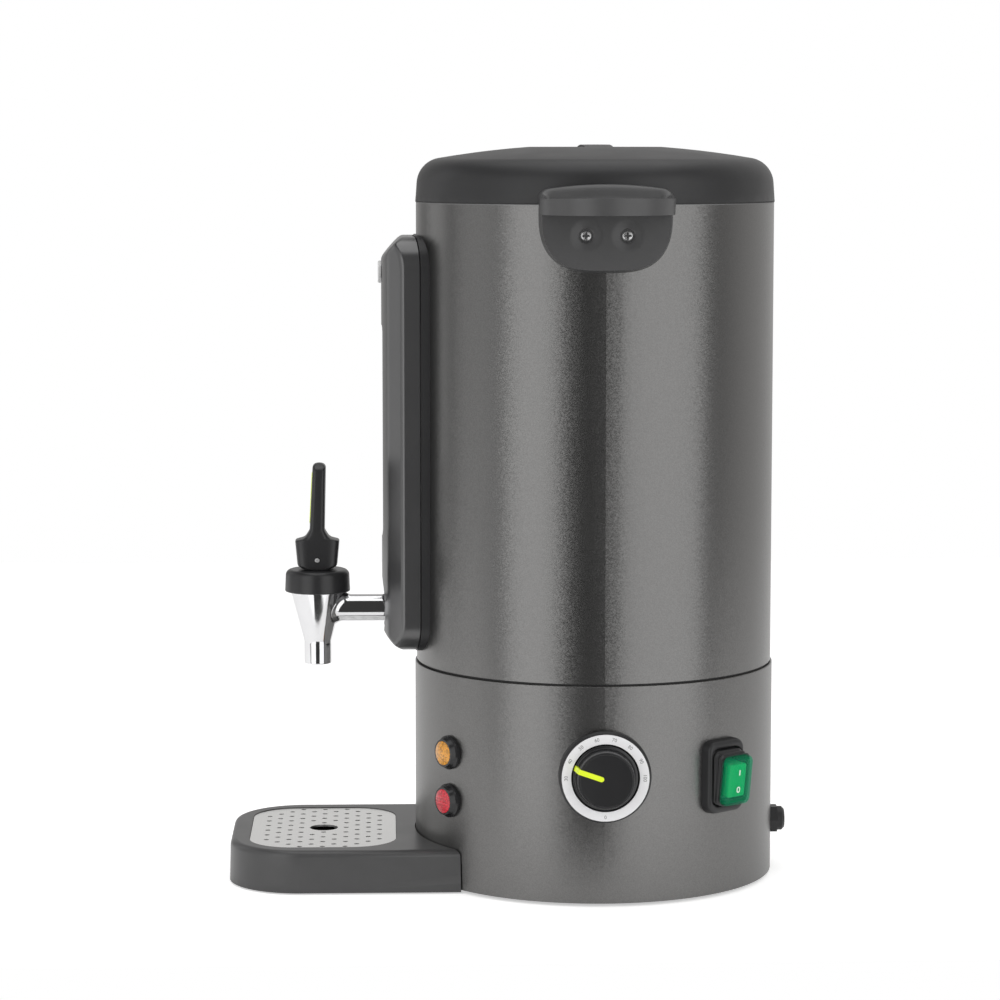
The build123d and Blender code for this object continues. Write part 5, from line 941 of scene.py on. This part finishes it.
MARK_THICK, MARK_UP = 0.12, 5.2
MARK_FACE = COVER_FACE - COVER_SINK + MARK_THICK
BAR_MARK, RING_MARK, RING_HOLE = (0.35, 1.6, 0.1), (1.35, 1.85, 1.34), (0.75, 1.25, 0.74)


def tilted(points, degrees):
    """Switch points turned about the rocker's pin: (up cos t - out sin t, up sin t + out cos t)."""
    a = np.radians(degrees)
    up, out = points[..., 1], points[..., 2] - SWITCH_PIVOT
    return np.stack([points[..., 0], up * np.cos(a) - out * np.sin(a),
                     SWITCH_PIVOT + up * np.sin(a) + out * np.cos(a)], -1)


def switch_sheet(points, closed=False, tilt=SWITCH_TILT):
    """Loops about the switch's middle as a sheet on the drum's side."""
    return sheet(facing(tilted(points, tilt), SWITCH_ANGLE, SWITCH_HEIGHT), closed=closed)


def surround_loops():
    """The raised frame round the switch, whose foot follows the drum: sqrt(R^2 - across^2)."""
    def foot(outline):
        across = loops((outline, 0, 0))[0, :, 0]
        return np.sqrt(BASE_RADIUS ** 2 - across ** 2) - 0.3

    return loops((SURROUND, 0, foot(SURROUND)), *round_steps(SURROUND, 0.3, SURROUND_FACE, 2.4, 7),
                 (SURROUND_WINDOW, -1.0, SURROUND_FACE), (SURROUND_WINDOW, -0.3, SURROUND_FACE - 0.3),
                 (SURROUND_WINDOW, 0, SURROUND_FACE - 1.0), (SURROUND_WINDOW, 0, foot(SURROUND_WINDOW)))


def skirt_loops(folds):
    """The folded skirt: its inset runs taper * s + fold / 2 (1 - cos(2 pi folds s)) from foot to cover."""
    share = np.linspace(0, 1, 41)
    inset = SKIRT_TAPER * share + SKIRT_FOLD / 2 * (1 - np.cos(2 * math.pi * folds * share))
    out = SKIRT_LOW + (SKIRT_HIGH - SKIRT_LOW) * share
    outer = [(SKIRT, i, o) for i, o in zip(inset, out)]
    inner = [(SKIRT, i + SKIRT_WALL, o) for i, o in zip(inset[::-1], out[::-1])]
    return loops(*outer, *inner)


def cover_loops():
    """The cover's outside with its sunk middle, then its inside."""
    middle, roof = COVER_FACE - COVER_SINK, COVER_FACE - 1.4
    shell = loops((COVER, 0, COVER_FOOT), *round_steps(COVER, 0, COVER_FACE, 1.6, 6),
                  (COVER, COVER_BROW, COVER_FACE), (COVER, COVER_BROW + 0.4, middle),
                  (COVER, COVER_MIDDLE, middle))
    inside = loops((COVER, COVER_MIDDLE, roof), (COVER, COVER_WALL + 0.5, roof),
                   (COVER, COVER_WALL, roof - 0.5), (COVER, COVER_WALL, COVER_FOOT))
    return np.concatenate([shell, centre_of(shell[-1]), centre_of(inside[0]), inside])


def rocker_loops():
    """The rocker that shows through the cover, a block with a rounded face."""
    sides = loops((ROCKER, 0, ROCKER_FOOT), *round_steps(ROCKER, 0, ROCKER_FACE, 0.8))
    return np.concatenate([centre_of(sides[0]), sides, centre_of(sides[-1])])


def mark_sheets():
    """A bar on the upper half for on, and a ring on the lower half for off."""
    low = MARK_FACE - 2 * MARK_THICK
    bar = loops((BAR_MARK, 0, low), (BAR_MARK, 0, MARK_FACE))
    bar = np.concatenate([centre_of(bar[0]), bar, centre_of(bar[1])])
    ring = loops((RING_MARK, 0, low), (RING_MARK, 0, MARK_FACE),
                 (RING_HOLE, 0, MARK_FACE), (RING_HOLE, 0, low))
    return [switch_sheet(bar + (0, MARK_UP, 0)), switch_sheet(ring - (0, MARK_UP, 0), True)]


class URN_OT_mains_switch(UrnPiece, bpy.types.Operator):
    """Makes the mains switch: its surround, folded skirt, tinted cover, rocker and marks"""
    bl_idname = "urn.mains_switch"
    bl_label = "Make the mains switch"

    def execute(self, context):
        new_piece("switch_surround", [switch_sheet(surround_loops(), True, 0)], "black_plastic",
                  BODY_OF["switch_frame"], ("switch_frame",), 50)

        skirt = skirt_loops(context.scene.urn_sizes.skirt_folds)
        lean = SWITCH_TILT * eased(skirt[..., 2], BEND_LOW, BEND_HIGH)
        skirt_piece = new_piece("switch_skirt", [switch_sheet(skirt, True, lean)], "satin_black", None,
                                crease=60)
        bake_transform(skirt_piece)

        new_piece("switch_cover", [switch_sheet(cover_loops(), True)], "boot_clear", BODY_OF["switch_boot"],
                  ("switch_boot",), 50)
        new_piece("switch_rocker_form", [switch_sheet(rocker_loops())], "rocker_green",
                  BODY_OF["switch_rocker"], ("switch_rocker",), 50)
        new_piece("switch_marks", mark_sheets(), "mark_white", BODY_OF["switch_rocker"])
        return {"FINISHED"}


# ---------------------------------------------------------------- tap
TAP_OUT = 170.0                             # from the urn's axis to the spout's
SPOUT_LOW, SPOUT_HIGH, SPOUT_RADIUS, SPOUT_BORE = 129.3, 143.0, 8.4, 6.4
CONE_HIGH, CONE_RADIUS = 174.0, 16.4
NECK_HIGH, NECK_RADIUS, NECK_BORE = 180.0, 14.0, 11.8
CHAMBER_LOW = 168.0                         # where the neck's bore starts to narrow
SEAT_HIGH, SEAT_RADIUS = 151.0, 9.2
SHANK_RADIUS, SHANK_BORE, SHANK_END = 8.3, 5.0, 90.0
SHANK_MOUTH = TAP_OUT - 12.0                # where its bore opens into the tap
SHANK_FLARE, FLARE_LENGTH = 1.9, 5.0
SHANK_SINK = 1.0                            # how far its root reaches into the cone


def cone_radius(height):
    """Radius of the tap's cone, which widens evenly from the spout's top."""
    return SPOUT_RADIUS + (CONE_RADIUS - SPOUT_RADIUS) * (height - SPOUT_HIGH) / (CONE_HIGH - SPOUT_HIGH)


def shank_tube():
    """A tube from the urn's wall to the tap's cone. Its root starts on the cone's face and narrows by
    flare * (1 - s / length)^2, where s is the distance from that face."""
    angle = np.arange(96) * 2 * math.pi / 96

    def row(radius, out):
        return np.stack(np.broadcast_arrays(radius * np.cos(angle), radius * np.sin(angle), out), -1)

    root = SHANK_RADIUS + SHANK_FLARE
    on_cone = cone_radius(SHANK_HEIGHT + root * np.sin(angle))
    start = TAP_OUT - np.sqrt(np.clip(on_cone ** 2 - (root * np.cos(angle)) ** 2, 1, None))
    rows = [row(SHANK_BORE, SHANK_MOUTH), row(root, start + SHANK_SINK)]
    for s in np.linspace(0, 1, 9):
        rows.append(row(SHANK_RADIUS + SHANK_FLARE * (1 - s) ** 2, start - FLARE_LENGTH * s))
    rows += [row(SHANK_RADIUS, SHANK_END + 0.3), row(SHANK_RADIUS - 0.3, SHANK_END),
             row(SHANK_BORE, SHANK_END)]
    return facing(np.stack(rows), FRONT, SHANK_HEIGHT)


class URN_OT_tap(UrnPiece, bpy.types.Operator):
    """Makes the plated tap body: spout, cone, neck and shank"""
    bl_idname = "urn.tap"
    bl_label = "Make the tap body"

    def execute(self, context):
        profile = rounded(
            [(SPOUT_BORE, SPOUT_LOW), (SPOUT_RADIUS, SPOUT_LOW), (SPOUT_RADIUS, SPOUT_HIGH),
             (CONE_RADIUS, CONE_HIGH), (NECK_RADIUS, CONE_HIGH), (NECK_RADIUS, NECK_HIGH),
             (NECK_BORE, NECK_HIGH), (NECK_BORE, CHAMBER_LOW), (SEAT_RADIUS, SEAT_HIGH),
             (SPOUT_BORE, SPOUT_HIGH)],
            [0.4, 0.6, 9.0, 0.4, 0, 0.5, 0.3, 2.0, 0, 0], closed=True)
        spout = sheet(turned(profile, 128, (0, -TAP_OUT)), closed=True)
        shank = sheet(shank_tube(), closed=True)
        new_piece("tap_body_form", [spout, shank], "tap_chrome", BODY_OF["tap_body"], ("tap_body",), 40)
        return {"FINISHED"}


# ---------------------------------------------------------------- lever
PIN_HEIGHT = 193.9
LEVER_SIDE = (                              # half depth and height above the pin, from the foot to the neck
    (6.7, -5.9), (8.3, -5.7), (10.2, -4.95), (12.2, -3.5), (13.6, 11.9), (7.6, 13.4), (4.4, 18.6),
)
LEVER_SIDE_ROUNDS = (0, 3.0, 3.0, 2.2, 1.1, 5.5, 7.0, 0)
LEVER_TIP, TIP_ROUND, TIP_POWER = 59.4, 3.2, 0.8
TIP_FRONT, TIP_REAR = 2.3, 5.3              # how far its front and its rear stand off at the tip
LEVER_WIDTHS = (                            # height above the pin and half width
    (-6.0, 8.9), (12.0, 8.9), (20.0, 7.8), (50.0, 10.2), (56.0, 8.4), (58.4, 5.0), (LEVER_TIP, 1.2),
)
LEVER_POWER = 5.0                           # squareness of its level loops
POCKET = (3.4, -3.5, 4.4, 6.2)              # half width, rear, front at its top, front at the foot
POCKET_TOP = 5.2


def lever_outline():
    """Front depth, rear depth and height of the lever from its foot to its tip.

    The stalk leans back a little: its front and rear run straight from the neck to the tip, which a half
    superellipse closes: its depth falls by cos(a)^p while its height rises by sin(a)."""
    path = rounded([*LEVER_SIDE, (TIP_FRONT + 0.6, LEVER_TIP)], LEVER_SIDE_ROUNDS, steps=8)
    neck_half, neck = LEVER_SIDE[-1]
    below = path[path[:, 1] < neck + 0.5]
    straight_end = LEVER_TIP - TIP_ROUND
    height = np.concatenate([below[:, 1], np.linspace(neck + 0.6, straight_end, 26)])
    share = np.clip((height - neck) / (LEVER_TIP - neck), 0, 1)
    base = np.interp(height, below[:, 1], below[:, 0])
    front, rear = base + (TIP_FRONT - neck_half) * share, base + (TIP_REAR - neck_half) * share
    turn = np.linspace(0, math.pi / 2, 10)[1:]
    middle, half = (front[-1] - rear[-1]) / 2, (front[-1] + rear[-1]) / 2
    closing = half * np.cos(turn) ** TIP_POWER
    return (np.concatenate([front, middle + closing]),
            np.concatenate([rear, -middle + closing]),
            np.concatenate([height, straight_end + TIP_ROUND * np.sin(turn)]))


def lever_loops():
    """Level loops up the pocket and then up the outside. Each is a rounded rectangle, |a|^n + |b|^n = 1, as
    deep as the side outline and as wide as the foot, the waist or the paddle at its height."""
    front, rear, height = lever_outline()
    width = np.interp(height, *np.array(LEVER_WIDTHS).T)
    angle = np.arange(72) * 2 * math.pi / 72
    power = 2 / LEVER_POWER
    a = np.sign(np.cos(angle)) * np.abs(np.cos(angle)) ** power
    b = np.sign(np.sin(angle)) * np.abs(np.sin(angle)) ** power
    middle, half = (front - rear) / 2, (front + rear) / 2
    x = width[:, None] * a
    y = -(middle[:, None] + half[:, None] * b)
    outside = np.stack([x, y, height[:, None] + 0 * x], -1)
    half_width, back, ahead_top, ahead_foot = POCKET
    pocket = []
    for level, ahead in ((POCKET_TOP, ahead_top), (0.0, ahead_top), (LEVER_SIDE[0][1], ahead_foot)):
        centre, reach = (ahead + back) / 2, (ahead - back) / 2
        pocket.append(np.stack([half_width * a, -(centre + reach * b), level + 0 * a], -1))
    grid = np.concatenate([centre_of(pocket[0]), np.stack(pocket), outside, centre_of(outside[-1])])
    return grid + (0, -TAP_OUT, PIN_HEIGHT)


# ---------------------------------------------------------------- tap spring
SPRING_LOW, SPRING_HIGH = 153.4, 179.9
SPRING_RADIUS, SPRING_WIRE = 5.4, 0.5       # of the coil, and of its wire
CLOSED_TURN = 0.75                          # how much of a turn lies flat at either end


def spring_coil(turns):
    """A wire wound round the stem, with its end turns closed: point = axis + (R + w cos b) outwards and
    z + w sin b up, where z rises evenly between the closed turns."""
    turn = np.linspace(0, turns, 300)[:, None]
    around = np.linspace(0, 2 * math.pi, 10, endpoint=False)
    rise = np.clip((turn - CLOSED_TURN) / (turns - 2 * CLOSED_TURN), 0, 1)
    level = SPRING_LOW + SPRING_WIRE + (SPRING_HIGH - SPRING_LOW - 2 * SPRING_WIRE) * rise
    out = SPRING_RADIUS + SPRING_WIRE * np.cos(around)
    angle = 2 * math.pi * turn
    wire = np.stack(np.broadcast_arrays(out * np.cos(angle), out * np.sin(angle),
                                        level + SPRING_WIRE * np.sin(around)), -1) + (0, -TAP_OUT, 0)
    return np.concatenate([centre_of(wire[0]), wire, centre_of(wire[-1])])


class URN_OT_tap_spring(UrnPiece, bpy.types.Operator):
    """Makes the tap's return spring, a coil round the valve stem"""
    bl_idname = "urn.tap_spring"
    bl_label = "Make the tap spring"

    def execute(self, context):
        wire = sheet(spring_coil(context.scene.urn_sizes.spring_turns))
        coil = new_piece("tap_spring_form", [wire], "spring_steel", None, ("tap_spring",), 60)
        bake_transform(coil)
        return {"FINISHED"}


# ---------------------------------------------------------------- lever's inlay, pin and bonnet
INLAY_HALF, INLAY_LOW, INLAY_HIGH = 4.3, 22.0, 53.5             # half width, and heights above the pin
INLAY_EDGE = ((0, -1.0), (0, 0.05), (0.08, 0.2), (0.3, 0.32))   # inset and how far proud of the lever
PIN_RADIUS, PIN_HALF = 1.5, 9.55
BONNET_LOW, BONNET_HIGH, BONNET_FOOT, BONNET_TOP = 174.1, 187.7, 20.0, 19.4
BONNET_FIT = 0.1                            # between the bonnet's recess and the tap's neck
STEM_HOLE = 3.1


def lever_inlay():
    """A bar with round ends let into the lever's front. Its face stands front(z) + proud before the pin."""
    front, _, height = lever_outline()
    middle, half = (INLAY_HIGH + INLAY_LOW) / 2, (INLAY_HIGH - INLAY_LOW) / 2
    rows = []

    def add(flat, proud):
        z = flat[:, 1] + middle
        rows.append(np.column_stack([flat[:, 0], -np.interp(z, height, front) - proud, z]))

    for inset, proud in INLAY_EDGE:
        end = INLAY_HALF - inset
        flat = rounded_box(end, half - inset, end - 0.05, arc=16, wide=2, tall=24)
        add(flat, proud)
    for share in np.linspace(0, 1, 8)[1:]:
        add(flat * (1 - share), proud)
    grid = np.stack(rows)
    return np.concatenate([centre_of(grid[0]), grid]) + (0, -TAP_OUT, PIN_HEIGHT)


class URN_OT_lever(UrnPiece, bpy.types.Operator):
    """Makes the tap's lever, its pin and the bonnet that it rocks on"""
    bl_idname = "urn.lever"
    bl_label = "Make the lever and bonnet"

    def execute(self, context):
        new_piece("tap_lever_form", [sheet(lever_loops())], "satin_black", BODY_OF["tap_lever"],
                  ("tap_lever",), 40)
        new_piece("lever_insert_form", [sheet(lever_inlay())], "lime_green", BODY_OF["lever_insert"],
                  ("lever_insert",), 50)
        pin = rounded([(0, -PIN_HALF), (PIN_RADIUS, -PIN_HALF), (PIN_RADIUS, PIN_HALF), (0, PIN_HALF)],
                      [0, 0.5, 0.5, 0])
        across = turned(pin, 32)[..., [2, 0, 1]] + (0, -TAP_OUT, PIN_HEIGHT)
        new_piece("lever_pin_form", [sheet(across)], "screw_steel", BODY_OF["lever_pin"], ("lever_pin",))
        recess, roof = NECK_RADIUS + BONNET_FIT, NECK_HIGH + BONNET_FIT
        profile = rounded(
            [(STEM_HOLE, BONNET_HIGH), (BONNET_TOP, BONNET_HIGH), (BONNET_FOOT, BONNET_LOW),
             (recess, BONNET_LOW), (recess, roof), (STEM_HOLE, roof)],
            [0.4, 3.6, 0.7, 0, 0, 0], steps=10, closed=True)
        bonnet = sheet(turned(profile, 128, (0, -TAP_OUT)), closed=True)
        new_piece("tap_bonnet_form", [bonnet], "satin_black", BODY_OF["tap_bonnet"], ("tap_bonnet",), 40)
        return {"FINISHED"}


# ================================================================ stage
FLOOR_BACK = (-1500.0, -1300.0)             # corners of the floor in the row frame
FLOOR_FRONT = (240.0, 1300.0)
FLOOR_CORNER = 20.0
FLOOR_GREY = (0.86, 0.86, 0.86)
FLOOR_GLOW, FLOOR_GLOW_IN_GLOSS = 0.5, 0.23     # added to the floor's own light for each kind of ray
CAMERA_PLACE = (2000.3, -74.7, 447.4)       # millimetres in the row frame
CAMERA_TURN = math.atan2(0.0347, -0.9994)
CAMERA_PITCH = 0.1083
CAMERA_LENS, CAMERA_SENSOR = 117.9, 36.0
LAMP_DISTANCE = 1600.0
LAMPS = (                                   # name, turn about the urn from +X, width, height, share
    ("Left softbox", -42.0, 1100.0, 2600.0, 0.94),
    ("Right softbox", 39.0, 1780.0, 2600.0, 0.85),
    ("Left fill", -84.0, 1000.0, 2200.0, 0.46),
    ("Front fill", -121.0, 700.0, 2200.0, 0.5),
)
LAMP_HEIGHT = 420.0
TOP_LAMP = (1500.0, 1300.0, 0.95)           # height, width, share
BRIGHT_SIDE = (-0.85, 0.53, 0.0)            # where the room is white, seen from the urn
BRIGHT_FROM = 0.95                          # how directly one must look there to see it at full level
ROOM_DARK, ROOM_AMBIENT = 0.045, 0.5        # the room's dark side in gloss, and its light on matt surfaces
ROOM_WARMTH = (1, 0.99, 0.98, 1)


def soft_lamp(name, place, width, height, radiance):
    """A rectangular lamp that faces the urn's middle. Its power is pi times area times radiance."""
    lamp = bpy.data.lights.new(name, "AREA")
    lamp.shape = "RECTANGLE"
    lamp.size, lamp.size_y = width * MM, height * MM
    lamp.energy = math.pi * width * height * MM * MM * radiance
    holder = new_object(name, lamp)
    middle = Vector((0, AXIS_Y, LAMP_HEIGHT)) * MM
    holder.location = Vector((place[0], AXIS_Y + place[1], place[2])) * MM
    holder.rotation_euler = (middle - holder.location).to_track_quat("-Z", "Y").to_euler()


def make_room(level):
    """World light: white for the camera, an even grey for matt light, and for gloss a room that is white on
    one side and dark on the other."""
    world = bpy.data.worlds.new("Room")
    bpy.context.scene.world = world
    world.use_nodes = True
    nodes, links = world.node_tree.nodes, world.node_tree.links
    nodes.clear()
    direction = nodes.new("ShaderNodeTexCoord").outputs["Generated"]
    towards = nodes.new("ShaderNodeVectorMath")
    towards.operation = "DOT_PRODUCT"
    towards.inputs[1].default_value = BRIGHT_SIDE
    links.new(direction, towards.inputs[0])
    room = nodes.new("ShaderNodeMapRange")
    room.interpolation_type = "SMOOTHSTEP"
    for socket, number in (("From Max", BRIGHT_FROM), ("To Min", ROOM_DARK), ("To Max", level)):
        room.inputs[socket].default_value = number
    links.new(towards.outputs["Value"], room.inputs["Value"])
    rays = nodes.new("ShaderNodeLightPath")
    strength = nodes.new("ShaderNodeMix")
    strength.inputs["B"].default_value = ROOM_AMBIENT
    links.new(rays.outputs["Is Diffuse Ray"], strength.inputs["Factor"])
    links.new(room.outputs[0], strength.inputs["A"])
    lit, seen = nodes.new("ShaderNodeBackground"), nodes.new("ShaderNodeBackground")
    lit.inputs["Color"].default_value = ROOM_WARMTH
    seen.inputs["Color"].default_value = (1, 1, 1, 1)
    links.new(strength.outputs["Result"], lit.inputs["Strength"])
    mix = nodes.new("ShaderNodeMixShader")
    links.new(rays.outputs["Is Camera Ray"], mix.inputs[0])
    links.new(lit.outputs[0], mix.inputs[1])
    links.new(seen.outputs[0], mix.inputs[2])
    links.new(mix.outputs[0], nodes.new("ShaderNodeOutputWorld").inputs[0])


def make_floor():
    """A pale sheet on the table whose lit parts reach the background's white, and which keeps the shadow.

    It ends a little in front of the urn, so the drum's dark stripe stays dark."""
    low, high = np.array(FLOOR_BACK), np.array(FLOOR_FRONT)
    outline = rounded_box(*((high - low) / 2), FLOOR_CORNER) + (low + high) / 2
    middle = np.broadcast_to((low + high) / 2, outline.shape)
    rows = np.stack([middle, outline])
    verts, faces = sheet(np.concatenate([rows, np.zeros((*rows.shape[:2], 1))], -1))
    floor = new_object("floor", new_mesh("floor", verts, faces))
    look = Finish("floor_paper", FLOOR_GREY, Roughness=0.9)
    look.mottle(look.noise(300), 0.01)
    glow, add = look.node("ShaderNodeEmission"), look.node("ShaderNodeAddShader")
    rays = look.node("ShaderNodeLightPath")
    in_gloss = look.node("ShaderNodeMath", operation="MULTIPLY")
    in_gloss.inputs[1].default_value = FLOOR_GLOW_IN_GLOSS
    seen = look.node("ShaderNodeMath", operation="MULTIPLY_ADD")
    seen.inputs[1].default_value = FLOOR_GLOW
    look.links.new(rays.outputs["Is Glossy Ray"], in_gloss.inputs[0])
    look.links.new(rays.outputs["Is Camera Ray"], seen.inputs[0])
    look.links.new(in_gloss.outputs[0], seen.inputs[2])
    look.links.new(seen.outputs[0], glow.inputs["Strength"])
    look.links.new(look.shader.outputs[0], add.inputs[0])
    look.links.new(glow.outputs[0], add.inputs[1])
    look.links.new(add.outputs[0], look.output.inputs[0])
    floor.data.materials.append(look.material)


def make_camera():
    """A camera that looks along its turn about the upright and its pitch below level."""
    lens = bpy.data.cameras.new("Camera")
    lens.lens, lens.sensor_width = CAMERA_LENS, CAMERA_SENSOR
    camera = new_object("Camera", lens)
    camera.location = Vector(CAMERA_PLACE) * MM
    flat = math.cos(CAMERA_PITCH)
    look = Vector((math.cos(CAMERA_TURN) * flat, math.sin(CAMERA_TURN) * flat, -math.sin(CAMERA_PITCH)))
    camera.rotation_euler = look.to_track_quat("-Z", "Y").to_euler()
    bpy.context.scene.camera = camera


class URN_OT_stage(UrnPiece, bpy.types.Operator):
    """Makes the floor, the room, the soft lamps and the camera"""
    bl_idname = "urn.stage"
    bl_label = "Make the stage"

    def execute(self, context):
        levels = context.scene.urn_stage
        context.scene.view_settings.view_transform = "Standard"
        make_floor()
        make_room(levels.sky_level)
        for name, turn, width, height, share in LAMPS:
            a = math.radians(turn)
            place = (LAMP_DISTANCE * math.cos(a), LAMP_DISTANCE * math.sin(a), LAMP_HEIGHT)
            soft_lamp(name, place, width, height, levels.lamp_level * share)
        height, width, share = TOP_LAMP
        soft_lamp("Top softbox", (0, 0, height), width, width, levels.lamp_level * share)
        make_camera()
        return {"FINISHED"}


class URN_PT_panel(bpy.types.Panel):
    """Every step of the urn's making"""
    bl_idname = "URN_PT_panel"
    bl_label = "Hot water urn"
    bl_space_type = "VIEW_3D"
    bl_region_type = "UI"
    bl_category = "Urn"

    def draw(self, context):
        for step in STEPS:
            self.layout.operator(step.bl_idname)
        for name in SETTINGS:
            group = getattr(context.scene, name)
            box = self.layout.box()
            for key in group.__annotations__:
                box.prop(group, key)


STEPS = (URN_OT_plain_parts, URN_OT_handles, URN_OT_gap_shadow_ring, URN_OT_gauge_housing, URN_OT_dial_scale,
         URN_OT_knob, URN_OT_lamp_lenses, URN_OT_mains_switch, URN_OT_tap, URN_OT_tap_spring,
         URN_OT_lever, URN_OT_stage)
SETTINGS = {"urn_sizes": UrnSizes, "urn_finishes": UrnFinishes, "urn_stage": UrnStage}
CLASSES = (*SETTINGS.values(), *STEPS, URN_PT_panel)


def register():
    for cls in CLASSES:
        bpy.utils.register_class(cls)
    for name, group in SETTINGS.items():
        setattr(bpy.types.Scene, name, PointerProperty(type=group))


def unregister():
    for name in SETTINGS:
        delattr(bpy.types.Scene, name)
    for cls in reversed(CLASSES):
        bpy.utils.unregister_class(cls)


def main():
    """Registers the add-on and runs its steps in order."""
    register()
    for step in STEPS:
        group, name = step.bl_idname.split(".")
        getattr(getattr(bpy.ops, group), name)()


if __name__ == "__main__":
    main()
